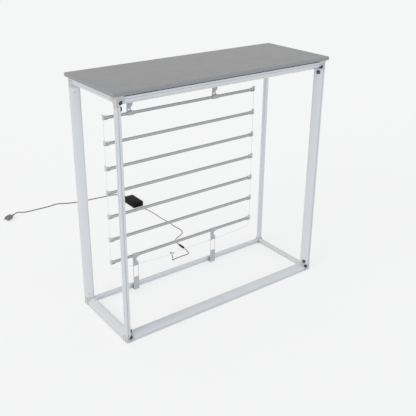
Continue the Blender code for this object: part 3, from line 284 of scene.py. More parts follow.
class CounterColours(bpy.types.PropertyGroup):
    """Colours of the counter's finishes."""

    aluminium: colour_property("Aluminium", "Satin anodised frame members", (216, 217, 219))
    casting: colour_property("Casting", "Coated corner connectors", (202, 199, 197))
    lock: colour_property("Lock", "Dark plastic of the quarter-turn locks", (28, 39, 64))
    laminate: colour_property("Laminate", "Laminate on the countertop", (145, 145, 144))
    edging: colour_property("Edging", "Edge band of the countertop", (146, 146, 149))
    bar: colour_property("Bar", "Anodised channels of the LED ladder", (160, 161, 160))
    lens: colour_property("Lens", "Milky covers of the LED strips", (184, 185, 184))
    end_clip: colour_property("End clip", "End clips of the LED bars", (206, 208, 208))
    hook: colour_property("Hook", "Hooks and lower clips of the ladder", (188, 190, 191))
    white_lead: colour_property("White lead", "Thin leads of the ladder", (236, 236, 234))
    black: colour_property("Black plastic", "Adaptor casing and plugs", (20, 20, 20))
    plug: colour_property("Plug", "Mains plug", (118, 118, 119))


class CounterSizes(bpy.types.PropertyGroup):
    """Sizes of the counter's finer details."""

    edge_softness: length_property("Edge softness", "Width of the softened edges", 0.0004)
    lens_thickness: length_property("Lens thickness", "Thickness of the milky covers", 0.0012)
    led_spacing: length_property("LED spacing", "Distance between the LEDs of a bar", 0.050)
    white_lead: length_property("White lead diameter", "Thin leads of the ladder", 0.002)
    dc_lead: length_property("Low-voltage lead diameter", "Lead of the adaptor", 0.0035)
    ac_lead: length_property("Mains lead diameter", "Lead of the mains plug", 0.005)


class CounterStudio(bpy.types.PropertyGroup):
    """The studio round the counter."""

    backdrop: colour_property("Backdrop", "Pale colour behind the counter", (245, 245, 245))
    floor: colour_property("Floor", "Pale floor", (250, 250, 250))
    floor_share: bpy.props.FloatProperty(
        name="Floor share", description="How far the floor shows its own plain colour",
        default=0.7, min=0.0, max=1.0, subtype="FACTOR")
    fill: bpy.props.FloatProperty(
        name="Fill", description="Strength of the even light from all round", default=0.66, min=0.0)
    key: bpy.props.FloatProperty(
        name="Key", description="Strength of the wide soft light from the left", default=1.13,
        min=0.0)
    cool: bpy.props.FloatProperty(
        name="Cool light", description="Strength of the faint bluish light from the front",
        default=0.50, min=0.0)


# Meshes


def flat(point):
    return Vector((*point, 0.0))


def only(kind, geometry):
    """The items of one kind in what an operator gives back."""
    return [item for item in geometry if isinstance(item, kind)]


class Outline:
    """Draws a closed flat outline by extruding and spinning its last corner."""

    def __init__(self, bm, start):
        self.bm = bm
        self.last = bm.verts.new(flat(start))

    def line(self, *points):
        for point in points:
            self.last = bmesh.ops.extrude_vert_indiv(self.bm, verts=[self.last])["verts"][0]
            bmesh.ops.translate(self.bm, verts=[self.last], vec=flat(point) - self.last.co)

    def arc(self, centre, angle, steps):
        turned = bmesh.ops.spin(
            self.bm, geom=[self.last], cent=flat(centre), axis=(0.0, 0.0, 1.0), angle=angle,
            steps=steps)
        self.last = only(bmesh.types.BMVert, turned["geom_last"])[0]


def fill_and_raise(bm, height):
    """Fills the outlines in the mesh and extrudes them along +Z."""
    bmesh.ops.remove_doubles(bm, verts=bm.verts, dist=MERGE_DISTANCE)
    filled = bmesh.ops.triangle_fill(bm, use_beauty=True, edges=bm.edges[:])
    faces = only(bmesh.types.BMFace, filled["geom"])
    raised = bmesh.ops.extrude_face_region(bm, geom=faces)
    moved = only(bmesh.types.BMVert, raised["geom"])
    bmesh.ops.translate(bm, verts=moved, vec=(0.0, 0.0, height))


def loose_object(name, bm):
    """A mesh object whose faces point outwards."""
    bmesh.ops.recalc_face_normals(bm, faces=bm.faces)
    mesh = bpy.data.meshes.new(name)
    bm.to_mesh(mesh)
    bm.free()
    item = bpy.data.objects.new(name, mesh)
    bpy.context.scene.collection.objects.link(item)
    return item


def new_piece(name, bm, body, materials, replaced=(), sharp=32.0, weighted=True):
    """Makes a piece of a mesh, smooth but for its sharp edges, that rides on a body."""
    piece = loose_object(name, bm)
    piece.data.shade_smooth()
    piece.data.set_sharp_from_angle(angle=math.radians(sharp))
    for finish in materials:
        piece.data.materials.append(finish)
    if weighted:
        step = piece.modifiers.new("even_shading", "WEIGHTED_NORMAL")
        step.keep_sharp = True
    if body:
        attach(piece, body)
    if replaced:
        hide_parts(*replaced)
    return piece


def apply_cut(piece, cutter):
    """Cuts one mesh object out of another for good."""
    cut = piece.modifiers.new("cut", "BOOLEAN")
    cut.operation = "DIFFERENCE"
    cut.solver = "EXACT"
    cut.object = cutter
    evaluated = piece.evaluated_get(bpy.context.evaluated_depsgraph_get())
    mesh = bpy.data.meshes.new_from_object(evaluated)
    piece.modifiers.remove(cut)
    piece.data = mesh
    bpy.data.objects.remove(cutter)


def drill(piece, name, matrix, radius, depth, segments):
    """Cuts a round hole in a piece, along the Z of a matrix."""
    bm = bmesh.new()
    bmesh.ops.create_cone(bm, cap_ends=True, segments=segments, radius1=radius, radius2=radius,
                          depth=depth, matrix=matrix)
    apply_cut(piece, loose_object(name, bm))


def heading_matrix(start, heading):
    """The matrix whose Z runs along a heading from a start point, with its Y kept level or up."""
    turn = Vector(heading).to_track_quat("Z", "Y")
    return Matrix.Translation(Vector(start)) @ turn.to_matrix().to_4x4()


def corner_matrix(corner, axis):
    """Takes (u, v, along) of an inward octant to the frame, with along on the given axis."""
    side, face, level = corner
    place = (side * FRAME_HALF_X, face * FRAME_HALF_Y, FRAME_HEIGHT if level > 0 else 0.0)
    turn = Matrix.Identity(4)
    for row in range(3):
        turn[row] = [float(row == (axis + 1) % 3), float(row == (axis + 2) % 3),
                     float(row == axis), 0.0]
    reflect = Matrix.Diagonal((-side, -face, -level, 1.0))
    return Matrix.Translation(place) @ reflect @ turn


def turned_piece(bm, profile, segments, frame_matrix, flatten=1.0):
    """Spins a profile of (height, radius) once round Z and puts it in place."""
    before = set(bm.verts)
    last = bm.verts.new((profile[0][1], 0.0, profile[0][0]))
    edges = []
    for height, radius in profile[1:]:
        grown = bmesh.ops.extrude_vert_indiv(bm, verts=[last])
        last = grown["verts"][0]
        edges += grown["edges"]
        bmesh.ops.translate(bm, verts=[last], vec=Vector((radius, 0.0, height)) - last.co)
    line = [item for item in bm.verts if item not in before]
    bmesh.ops.spin(bm, geom=line + edges, cent=(0.0, 0.0, 0.0), axis=(0.0, 0.0, 1.0),
                   angle=math.tau, steps=segments, use_merge=True)
    made = [item for item in bm.verts if item not in before]
    bmesh.ops.remove_doubles(bm, verts=made, dist=MERGE_DISTANCE)
    made = [item for item in bm.verts if item not in before]
    shape = Matrix.Diagonal((1.0, flatten, 1.0, 1.0))
    bmesh.ops.transform(bm, matrix=frame_matrix @ shape, verts=made)


def bevel_edges(bm, edges, width, segments):
    bmesh.ops.bevel(bm, geom=edges, offset=width, segments=segments, profile=0.5, affect="EDGES",
                    material=-1)


def block(bm, low, high, bevel=0.0, segments=2):
    """A box between two corners, with softened edges where a bevel is given."""
    size = Vector(high) - Vector(low)
    middle = (Vector(high) + Vector(low)) / 2
    matrix = Matrix.Translation(middle) @ Matrix.Diagonal((*size, 1.0))
    made = bmesh.ops.create_cube(bm, size=1.0, matrix=matrix)["verts"]
    if bevel:
        bevel_edges(bm, list({edge for vert in made for edge in vert.link_edges}), bevel, segments)


def soften_edges(piece, width):
    """Rounds a piece's sharp edges with a live bevel."""
    soft = piece.modifiers.new("soft_edges", "BEVEL")
    soft.width = width
    soft.segments = 2
    soft.limit_method = "ANGLE"
    soft.angle_limit = SOFTENED_ANGLE
    soft.harden_normals = True


def softened(name, ending, body, finish, width):
    """A merged copy of a CAD node with softened edges, in its place."""
    bm = bmesh.new()
    bm.from_mesh(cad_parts[name].data)
    bmesh.ops.remove_doubles(bm, verts=bm.verts, dist=MERGE_DISTANCE)
    bmesh.ops.dissolve_limit(bm, angle_limit=FLAT_ANGLE, verts=bm.verts, edges=bm.edges)
    for face in bm.faces:
        face.material_index = 0
    piece = new_piece(name + ending, bm, body, [finish], [name], weighted=False)
    soften_edges(piece, width)
    return piece


def smooth_route(route, spacing):
    """Evenly spaced points on a smooth curve through a route's points."""
    points = [Vector(point) for point in route]
    ends = [2 * points[0] - points[1]] + points + [2 * points[-1] - points[-2]]
    fine = [points[0]]
    for before, start, finish, after in zip(ends, ends[1:], ends[2:], ends[3:]):
        for step in range(1, ROUTE_STEPS + 1):
            t = step / ROUTE_STEPS
            fine.append(0.5 * (
                2 * start + (finish - before) * t
                + (2 * before - 5 * start + 4 * finish - after) * t ** 2
                + (3 * start - before - 3 * finish + after) * t ** 3))
    lengths = [0.0]
    for start, finish in zip(fine, fine[1:]):
        lengths.append(lengths[-1] + (finish - start).length)
    count = max(3, round(lengths[-1] / spacing))
    spaced = []
    index = 0
    for step in range(count):
        target = lengths[-1] * step / (count - 1)
        while index < len(lengths) - 2 and lengths[index + 1] < target:
            index += 1
        share = (target - lengths[index]) / (lengths[index + 1] - lengths[index])
        spaced.append(fine[index].lerp(fine[index + 1], share))
    return spaced


def lead_curve(name, points, diameter, finish, body, node):
    """A round lead as a curve of one open spline."""
    curve = bpy.data.curves.new(name, "CURVE")
    curve.dimensions = "3D"
    curve.bevel_depth = diameter / 2
    curve.bevel_resolution = 4
    curve.use_fill_caps = True
    line = curve.splines.new("POLY")
    line.points.add(len(points) - 1)
    for item, point in zip(line.points, points):
        item.co = (*point, 1.0)
    line.use_smooth = True
    curve.materials.append(finish)
    lead = bpy.data.objects.new(name, curve)
    bpy.context.scene.collection.objects.link(lead)
    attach(lead, body)
    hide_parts(node)
    return lead


# Materials


def new_group(name, inputs, outputs):
    """A shader group with inputs given as (name, type, default) and outputs as (name, type)."""
    group = bpy.data.node_groups.new(name, "ShaderNodeTree")
    for label, kind, default in inputs:
        socket = group.interface.new_socket(
            name=label, in_out="INPUT", socket_type="NodeSocket" + kind)
        if default is not None:
            socket.default_value = default
    for label, kind in outputs:
        group.interface.new_socket(name=label, in_out="OUTPUT", socket_type="NodeSocket" + kind)
    return group, group.nodes.new("NodeGroupInput").outputs


def put_out(group, **results):
    """Links results to a group's outputs."""
    leave = group.nodes.new("NodeGroupOutput")
    for label, result in results.items():
        group.links.new(result, leave.inputs[label])
    return group


def node(tree, kind, **values):
    made = tree.nodes.new(kind)
    for label, value in values.items():
        setattr(made, label, value)
    return made


def feed(tree, socket, value):
    """Links a result to a socket, or sets a plain value on it."""
    if isinstance(value, bpy.types.NodeSocket):
        tree.links.new(value, socket)
    else:
        socket.default_value = value


def noise(tree, vector, scale, detail=3.0, roughness=0.5):
    made = node(tree, "ShaderNodeTexNoise")
    for label, value in (("Vector", vector), ("Scale", scale), ("Detail", detail),
                         ("Roughness", roughness)):
        feed(tree, made.inputs[label], value)
    return made.outputs["Fac"]


def number(tree, operation, *values):
    made = node(tree, "ShaderNodeMath", operation=operation)
    for socket, value in zip(made.inputs, values):
        feed(tree, socket, value)
    return made.outputs[0]


def shared(tree, first, second, share):
    """Two values added by shares that make one."""
    return number(tree, "ADD", number(tree, "MULTIPLY", first, share),
                  number(tree, "MULTIPLY", second, 1.0 - share))


def ranged(tree, value, low, high, to_low=0.0, to_high=1.0):
    made = node(tree, "ShaderNodeMapRange")
    for label, setting in (("Value", value), ("From Min", low), ("From Max", high),
                           ("To Min", to_low), ("To Max", to_high)):
        feed(tree, made.inputs[label], setting)
    return made.outputs["Result"]


def mixed(tree, share, first, second):
    """One colour mixed into another by a share."""
    made = node(tree, "ShaderNodeMix", data_type="RGBA")
    for label, value in (("Factor", share), ("A", first), ("B", second)):
        socket = [item for item in made.inputs if item.name == label and item.enabled][0]
        feed(tree, socket, (*value, 1.0) if isinstance(value, list) else value)
    return [item for item in made.outputs if item.enabled][0]


def cloud_group(name):
    """Soft variation of a colour, from one value of a noise to another."""
    group, entry = new_group(
        name, [("Vector", "Vector", None), ("Colour", "Color", (0.5, 0.5, 0.5, 1.0)),
               ("Scale", "Float", 20.0), ("Amount", "Float", 0.05)], [("Colour", "Color")])
    value = noise(group, entry["Vector"], entry["Scale"])
    swing = number(group, "MULTIPLY", number(group, "SUBTRACT", value, 0.5),
                   number(group, "MULTIPLY", entry["Amount"], 4.0))
    scaled = node(group, "ShaderNodeVectorMath", operation="SCALE")
    group.links.new(entry["Colour"], scaled.inputs[0])
    group.links.new(number(group, "ADD", swing, 1.0), scaled.inputs["Scale"])
    return put_out(group, Colour=scaled.outputs[0])


def die_line_group(name):
    """Fine lines along an extrusion, from a vector that is stretched along it."""
    group, entry = new_group(
        name, [("Vector", "Vector", None), ("Stretch", "Vector", (1.0, 1.0, 1.0))],
        HEIGHT_AND_MASK)
    stretched = node(group, "ShaderNodeVectorMath", operation="MULTIPLY")
    group.links.new(entry["Vector"], stretched.inputs[0])
    group.links.new(entry["Stretch"], stretched.inputs[1])
    fine = noise(group, stretched.outputs[0], 900.0, 2.0)
    broad = noise(group, stretched.outputs[0], 160.0, 2.0)
    return put_out(group, Height=shared(group, fine, broad, 0.6),
                   Mask=ranged(group, broad, 0.35, 0.65))


def grain_group(name):
    """The fine pits and speckle of a moulded, cast or laminated surface."""
    group, entry = new_group(
        name, [("Vector", "Vector", None), ("Scale", "Float", 1500.0)], HEIGHT_AND_MASK)
    pits = node(group, "ShaderNodeTexVoronoi")
    group.links.new(entry["Vector"], pits.inputs["Vector"])
    group.links.new(entry["Scale"], pits.inputs["Scale"])
    specks = noise(group, entry["Vector"], entry["Scale"], 2.0, 0.6)
    return put_out(group, Height=shared(group, pits.outputs["Distance"], specks, 0.5),
                   Mask=ranged(group, specks, 0.40, 0.62))


def dust_group(name):
    """A thin uneven layer of dust on surfaces that face up."""
    group, entry = new_group(
        name, [("Vector", "Vector", None), ("Normal", "Vector", None), ("Amount", "Float", 0.15)],
        [("Mask", "Float")])
    split = node(group, "ShaderNodeSeparateXYZ")
    group.links.new(entry["Normal"], split.inputs[0])
    upward = ranged(group, split.outputs["Z"], 0.2, 1.0)
    patches = ranged(group, noise(group, entry["Vector"], 60.0, 5.0, 0.65), 0.35, 0.75)
    layer = number(group, "MULTIPLY", upward, patches)
    return put_out(group, Mask=number(group, "MULTIPLY", layer, entry["Amount"]))


def braid_group(name):
    """Two families of crossing threads on a round cord, from its own UV map."""
    group, entry = new_group(
        name, [("Vector", "Vector", None), ("Threads", "Float", 8.0)], HEIGHT_AND_MASK)
    split = node(group, "ShaderNodeSeparateXYZ")
    group.links.new(entry["Vector"], split.inputs[0])
    waves = []
    for operation in ("ADD", "SUBTRACT"):
        slant = number(group, operation, split.outputs["X"], split.outputs["Y"])
        turns = number(group, "MULTIPLY", number(group, "MULTIPLY", slant, math.tau),
                       entry["Threads"])
        waves.append(number(group, "SINE", turns))
    height = number(group, "MAXIMUM", *waves)
    # The mask is low in the gaps between the threads, where braided() paints shade
    return put_out(group, Height=height, Mask=ranged(group, height, -0.2, 0.8))


GROUP_MAKERS = {
    "cloudy_tone": cloud_group, "die_lines": die_line_group, "fine_grain": grain_group,
    "resting_dust": dust_group, "braided_threads": braid_group,
}


def placed_group(tree, name, **values):
    """The outputs of an instance of one of the shared effects, built once."""
    made = node(tree, "ShaderNodeGroup")
    made.node_tree = bpy.data.node_groups.get(name) or GROUP_MAKERS[name](name)
    for label, value in values.items():
        feed(tree, made.inputs[label], value)
    return made.outputs


def blank_material(name, roughness, metallic=0.0):
    finish = bpy.data.materials.new(name)
    finish.use_nodes = True
    tree = finish.node_tree
    shader = tree.nodes["Principled BSDF"]
    shader.inputs["Roughness"].default_value = roughness
    shader.inputs["Metallic"].default_value = metallic
    return finish, tree, shader, node(tree, "ShaderNodeTexCoord").outputs


def link_surface(tree, shader, base, rough, height, strength, distance=BUMP_DISTANCE):
    """Links a material's colour, uneven roughness and bump to its shader."""
    bump = node(tree, "ShaderNodeBump")
    bump.inputs["Strength"].default_value = strength
    bump.inputs["Distance"].default_value = distance
    tree.links.new(height, bump.inputs["Height"])
    tree.links.new(bump.outputs["Normal"], shader.inputs["Normal"])
    tree.links.new(base, shader.inputs["Base Color"])
    if rough is not None:
        tree.links.new(rough, shader.inputs["Roughness"])


def toned(colour, factor):
    """A colour made darker or lighter by a factor."""
    return [min(1.0, share * factor) for share in colour]


def cloudy(tree, place, colour, scale, amount):
    """A colour that varies softly over a piece."""
    return placed_group(tree, "cloudy_tone", Vector=place["Object"], Scale=scale,
                        Colour=(*colour, 1.0), Amount=amount)["Colour"]


def anodised(name, colour, axis, roughness=0.40, metallic=0.3):
    """Satin anodised extrusion with die lines along one axis and a slightly uneven tone."""
    finish, tree, shader, place = blank_material(name, roughness, metallic)
    stretch = [1.0, 1.0, 1.0]
    stretch[axis] = 0.012
    lines = placed_group(tree, "die_lines", Vector=place["Object"], Stretch=stretch)
    streak = mixed(tree, lines["Mask"], toned(colour, 0.97), toned(colour, 1.02))
    base = mixed(tree, 0.5, streak, cloudy(tree, place, colour, 9.0, 0.012))
    rough = ranged(tree, lines["Mask"], 0.0, 1.0, roughness - 0.03, roughness + 0.04)
    link_surface(tree, shader, base, rough, lines["Height"], 0.06)
    return finish


def moulded(name, colour, roughness, scale=1400.0, bump=0.15, dust=0.0, metallic=0.0,
            specular=0.5):
    """Moulded or coated surface with a fine grain, a slightly uneven tone and a little dust."""
    finish, tree, shader, place = blank_material(name, roughness, metallic)
    shader.inputs["Specular IOR Level"].default_value = specular
    grain = placed_group(tree, "fine_grain", Vector=place["Object"], Scale=scale)
    base = cloudy(tree, place, colour, 40.0, 0.03)
    if dust:
        normal = node(tree, "ShaderNodeNewGeometry").outputs["Normal"]
        layer = placed_group(tree, "resting_dust", Vector=place["Object"], Normal=normal,
                             Amount=dust)
        base = mixed(tree, layer["Mask"], base, list(linear(186, 184, 180)))
    rough = ranged(tree, grain["Mask"], 0.0, 1.0, roughness - 0.05, roughness + 0.06)
    link_surface(tree, shader, base, rough, grain["Height"], bump)
    return finish


def laminate_finish(name, colour, speck_share):
    """Matt laminate with a fine two-tone speckle and faint handling marks."""
    finish, tree, shader, place = blank_material(name, 0.52)
    grain = placed_group(tree, "fine_grain", Vector=place["Object"], Scale=700.0)
    specks = mixed(tree, grain["Mask"], toned(colour, 1.0 - speck_share),
                   toned(colour, 1.0 + speck_share))
    base = mixed(tree, 0.5, specks, cloudy(tree, place, colour, 5.0, 0.012))
    marks = noise(tree, place["Object"], 14.0, 6.0, 0.7)
    rough = ranged(tree, marks, 0.3, 0.7, 0.46, 0.58)
    link_surface(tree, shader, base, rough, grain["Height"], 0.10)
    return finish


def braided(name, colour):
    """Braided elastic whose threads follow the cord's own UV map, with painted shade between them.
    """
    finish, tree, shader, place = blank_material(name, 0.85)
    threads = placed_group(tree, "braided_threads", Vector=place["UV"], Threads=5.0)
    # Painted shade: the gaps between the threads are darkened to less than half the cord's colour
    base = mixed(tree, threads["Mask"], toned(colour, 0.45), toned(colour, 1.0))
    link_surface(tree, shader, base, None, threads["Height"], 0.6, 0.0003)
    return finish


FINISHES = {}


def finishes():
    """All the counter's finishes by name, made once from the colours."""
    if FINISHES:
        return FINISHES
    colours = bpy.context.scene.counter_colours
    made = FINISHES
    for axis, label in enumerate("xyz"):
        made["aluminium_" + label] = anodised("anodised_along_" + label, colours.aluminium, axis)
    made["casting"] = moulded("cast_coat", colours.casting, 0.42, 1100.0, 0.20, metallic=0.25)
    made["lock"] = moulded("dark_lock_plastic", colours.lock, 0.32, 2200.0, 0.05)
    made["laminate"] = laminate_finish("grey_laminate_top", colours.laminate, 0.05)
    made["edging"] = laminate_finish("grey_edge_band", colours.edging, 0.04)
    made["block"] = moulded("dark_block_plastic", linear(58, 59, 61), 0.5)
    made["bar"] = anodised("bar_anodised", colours.bar, 0, 0.42, 0.6)
    made["clip"] = moulded("clip_plastic", colours.end_clip, 0.45)
    made["lens"] = moulded("milky_lens", colours.lens, 0.30, 900.0, 0.03)
    made["strip"] = moulded("strip_board", linear(214, 214, 210), 0.5)
    made["chip"] = moulded("led_chip", linear(226, 206, 120), 0.35)
    made["hook"] = moulded("hook_plastic", colours.hook, 0.45)
    made["elastic"] = braided("elastic_braid", linear(222, 222, 218))
    made["white_lead"] = moulded("white_sheath", colours.white_lead, 0.40, 1800.0, 0.04)
    made["black_lead"] = moulded("black_sheath", linear(58, 57, 56), 0.42, 1800.0, 0.05, 0.06)
    made["black"] = moulded("black_casing", colours.black, 0.60, 1500.0, 0.20, specular=0.1)
    made["board"] = moulded("green_board", linear(24, 84, 52), 0.45)
    made["plug"] = moulded("plug_plastic", colours.plug, 0.45, 1500.0, 0.15, 0.05)
    made["steel"] = moulded("plated_metal", linear(206, 206, 204), 0.22, 600.0, 0.02, metallic=1.0)
    made["socket"] = moulded("lock_socket_metal", linear(112, 118, 138), 0.35, metallic=0.3)
    return made


# Pieces


def section(bm):
    """The rounded outer outline of a frame member."""
    radius = FLANK_CHORD.length ** 2 / (8 * FLANK_BULGE) + FLANK_BULGE / 2
    middle = (FLANK_FOOT + FLANK_NOSE) / 2 - FLANK_OUT * (radius - FLANK_BULGE)
    sweep = 2 * math.asin(FLANK_CHORD.length / 2 / radius)
    near = GROOVE_INSET - GROOVE_WIDTH / 2
    far = GROOVE_INSET + GROOVE_WIDTH / 2
    outline = Outline(bm, (EDGE_RADIUS, 0.0))
    outline.line((near, 0.0), (near, GROOVE_DEPTH), (far, GROOVE_DEPTH), (far, 0.0), (LEG, 0.0))
    outline.arc(middle, sweep, 8)
    outline.arc((NOSE_CENTRE, NOSE_CENTRE), NOSE_SWEEP, 12)
    outline.arc(middle.yx, sweep, 8)
    outline.line((0.0, far), (GROOVE_DEPTH, far), (GROOVE_DEPTH, near), (0.0, near),
                 (0.0, EDGE_RADIUS))
    outline.arc((EDGE_RADIUS, EDGE_RADIUS), math.pi / 2, 4)


def hollow(bm):
    """The inner outline of a frame member."""
    leg = GROOVE_DEPTH + WALL
    radius = NOSE_RADIUS - WALL
    on_flank = FLANK_FOOT - FLANK_OUT * WALL
    foot = on_flank.x + (leg - on_flank.y) * FLANK_CHORD.x / FLANK_CHORD.y
    outline = Outline(bm, (leg, leg))
    outline.line((foot, leg), (NOSE_CENTRE + radius * math.cos(NOSE_ARC_START),
                               NOSE_CENTRE + radius * math.sin(NOSE_ARC_START)))
    outline.arc((NOSE_CENTRE, NOSE_CENTRE), NOSE_SWEEP, 8)
    outline.line((leg, foot), (leg, leg))


def flank_frame(corner, share, depth, height, at_end=False):
    """The matrix at a point of a post's flank, with Z outwards, beside its long or end face."""
    out = FLANK_OUT
    point = FLANK_FOOT.lerp(FLANK_NOSE, share) - out * depth
    if at_end:
        point, out = point.yx, out.yx
    place = corner_matrix(corner, 2)
    return heading_matrix(place @ Vector((*point, height)), place.to_3x3() @ flat(out))


def make_member(name, axis, length, corner):
    """An extruded member from one corner of the frame to the next."""
    bm = bmesh.new()
    section(bm)
    hollow(bm)
    fill_and_raise(bm, length - 2 * MEMBER_START)
    shift = Matrix.Translation((0.0, 0.0, MEMBER_START))
    bmesh.ops.transform(bm, matrix=corner_matrix(corner, axis) @ shift, verts=bm.verts)
    return new_piece(name + "_extrusion", bm, "frame",
                     [finishes()["aluminium_" + "xyz"[axis]]], [name], sharp=MEMBER_SHARP)


def cut_post(post, side, face):
    """Drills a post's snap holes and, at the front, the windows of its locks."""
    depth = 2 * (WALL + FLANK_BULGE)
    for _, level in LEVELS:
        corner = (side, face, level)
        seat = flank_frame(corner, SNAP_HOLE_INSET / FLANK_CHORD.y, 0.0, SNAP_HOLE_FROM_END, True)
        drill(post, "snap_hole", seat, SNAP_HOLE_RADIUS, depth, 32)
        if face < 0:
            seat = flank_frame(corner, 0.5, 0.0, POST_LOCK_FROM_END)
            drill(post, "lock_window", seat, LOCK_RADIUS + LOCK_GAP, depth, 48)
    post.data.set_sharp_from_angle(angle=math.radians(MEMBER_SHARP))


def show_backdrop(tree, plain, colour, share, surface, kind):
    """Shows a plain colour, by a share, to the camera, reflections and clear parts alone."""
    seen = node(tree, kind)
    seen.inputs["Color"].default_value = (*colour, 1.0)
    path = node(tree, "ShaderNodeLightPath")
    direct = number(tree, "MAXIMUM", path.outputs["Is Camera Ray"], path.outputs["Is Glossy Ray"])
    direct = number(tree, "MAXIMUM", direct, path.outputs["Is Transmission Ray"])
    mix = node(tree, "ShaderNodeMixShader")
    tree.links.new(number(tree, "MULTIPLY", direct, share), mix.inputs["Fac"])
    tree.links.new(plain, mix.inputs[1])
    tree.links.new(seen.outputs[0], mix.inputs[2])
    tree.links.new(mix.outputs[0], surface)


class COUNTER_OT_studio(bpy.types.Operator):
    """Sets up the camera, the floor, the backdrop and the soft light"""

    bl_idname = "counter.studio"
    bl_label = "Studio"

    def execute(self, context):
        studio = context.scene.counter_studio
        camera = bpy.data.cameras.new("camera")
        camera.sensor_width = SENSOR_WIDTH
        camera.lens = FOCAL_LENGTH / PHOTO_SIDE * SENSOR_WIDTH
        camera.shift_x = (PHOTO_SIDE / 2 - OPTICAL_CENTRE[0]) / PHOTO_SIDE
        camera.shift_y = (OPTICAL_CENTRE[1] - PHOTO_SIDE / 2) / PHOTO_SIDE
        camera.clip_start = 0.05
        camera.clip_end = 200.0
        view = bpy.data.objects.new("camera", camera)
        context.scene.collection.objects.link(view)
        view.location = CAMERA_PLACE
        view.rotation_mode = "QUATERNION"
        view.rotation_quaternion = (CAMERA_AIM - CAMERA_PLACE).to_track_quat("-Z", "Y")
        context.scene.camera = view
        context.scene.view_settings.view_transform = "Standard"

        bm = bmesh.new()
        bmesh.ops.create_circle(bm, cap_ends=True, segments=64, radius=FLOOR_RADIUS)
        floor = loose_object("floor", bm)
        finish, tree, shader, _ = blank_material("studio_floor", 1.0)
        shader.inputs["Base Color"].default_value = (*studio.floor, 1.0)
        shader.inputs["Specular IOR Level"].default_value = 0.0
        show_backdrop(tree, shader.outputs[0], studio.floor, studio.floor_share,
                      tree.nodes["Material Output"].inputs["Surface"], "ShaderNodeEmission")
        floor.data.materials.append(finish)

        world = bpy.data.worlds.new("studio")
        context.scene.world = world
        world.use_nodes = True
        tree = world.node_tree
        even = tree.nodes["Background"]
        even.inputs["Color"].default_value = (1.0, 1.0, 1.0, 1.0)
        even.inputs["Strength"].default_value = studio.fill
        show_backdrop(tree, even.outputs[0], studio.backdrop, 1.0,
                      tree.nodes["World Output"].inputs["Surface"], "ShaderNodeBackground")

        self.lamp("soft_key", studio.key, (1.0, 1.0, 1.0), KEY_SOURCE)
        self.lamp("cool_front", studio.cool, COOL_TINT, COOL_SOURCE)
        return {"FINISHED"}

    def lamp(self, name, strength, colour, source):
        """A wide soft light that is even all over, from the direction of its source."""
        light = bpy.data.lights.new(name, "SUN")
        light.energy = strength
        light.color = colour
        light.angle = LAMP_ANGLE
        lamp = bpy.data.objects.new(name, light)
        bpy.context.scene.collection.objects.link(lamp)
        lamp.location = source
        lamp.rotation_mode = "QUATERNION"
        lamp.rotation_quaternion = Vector(source).to_track_quat("Z", "Y")


class COUNTER_OT_members(bpy.types.Operator):
    """Makes the twelve extruded members of the frame"""

    bl_idname = "counter.members"
    bl_label = "Frame members"

    def execute(self, context):
        for side_name, side in SIDES:
            for face_name, face in FACES:
                post = make_member(f"post_{face_name}_{side_name}", 2, FRAME_HEIGHT,
                                   (side, face, -1))
                cut_post(post, side, face)
        for level_name, level in LEVELS:
            for face_name, face in FACES:
                make_member(f"{level_name}_rail_{face_name}", 0, 2 * FRAME_HALF_X,
                            (-1, face, level))
            for side_name, side in SIDES:
                make_member(f"{level_name}_rail_{side_name}", 1, 2 * FRAME_HALF_Y,
                            (side, -1, level))
        return {"FINISHED"}


class COUNTER_OT_connectors(bpy.types.Operator):
    """Makes the eight cast corner connectors"""

    bl_idname = "counter.connectors"
    bl_label = "Corner connectors"

    def execute(self, context):
        soft = context.scene.counter_sizes.edge_softness
        for level_name, _ in LEVELS:
            for face_name, _ in FACES:
                for side_name, _ in SIDES:
                    softened(f"connector_{level_name}_{face_name}_{side_name}", "_casting",
                             "frame", finishes()["casting"], soft)
        return {"FINISHED"}


class COUNTER_OT_locks(bpy.types.Operator):
    """Makes the eight quarter-turn locks of the front corners"""

    bl_idname = "counter.locks"
    bl_label = "Quarter-turn locks"

    def execute(self, context):
        made = finishes()
        for level_name, level in LEVELS:
            for side_name, side in SIDES:
                corner = (side, -1, level)
                seat = corner_matrix(corner, 2) @ Vector(CORNER_LOCK_SEAT)
                matrices = {
                    "connector": heading_matrix(seat, (0.0, -1.0, 0.0)),
                    "post": flank_frame(corner, 0.5, POST_LOCK_SEAT, POST_LOCK_FROM_END),
                }
                for kind, matrix in matrices.items():
                    self.lock(f"lock_{kind}_{level_name}_{side_name}", matrix, made)
        return {"FINISHED"}

    def lock(self, name, matrix, made):
        """A turned head with a rolled rim, round a metal core with a hexagonal socket."""
        bm = bmesh.new()
        turned_piece(bm, LOCK_PROFILE, 48, matrix)
        mouth = LOCK_HEAD - SOCKET_FROM_TOP
        hexagon = bmesh.ops.create_circle(
            bm, cap_ends=False, segments=6, radius=SOCKET_RADIUS,
            matrix=matrix @ Matrix.Translation((0.0, 0.0, mouth)))["verts"]
        rim = [edge for edge in bm.edges if edge.is_boundary or edge.is_wire]
        bmesh.ops.bridge_loops(bm, edges=rim)
        inner = [edge for edge in bm.edges
                 if edge.verts[0] in hexagon and edge.verts[1] in hexagon]
        sunk = bmesh.ops.extrude_edge_only(bm, edges=inner)["geom"]
        low = only(bmesh.types.BMVert, sunk)
        down = matrix.to_3x3() @ Vector((0.0, 0.0, -SOCKET_DEPTH))
        bmesh.ops.translate(bm, verts=low, vec=down)
        bmesh.ops.contextual_create(bm, geom=low)
        floor = matrix @ Vector((0.0, 0.0, mouth - SOCKET_DEPTH))
        for face in bm.faces:
            if (face.calc_center_median() - floor).length < SOCKET_REACH:
                face.material_index = 1
        new_piece(name + "_turned", bm, name, [made["lock"], made["socket"]], [name])


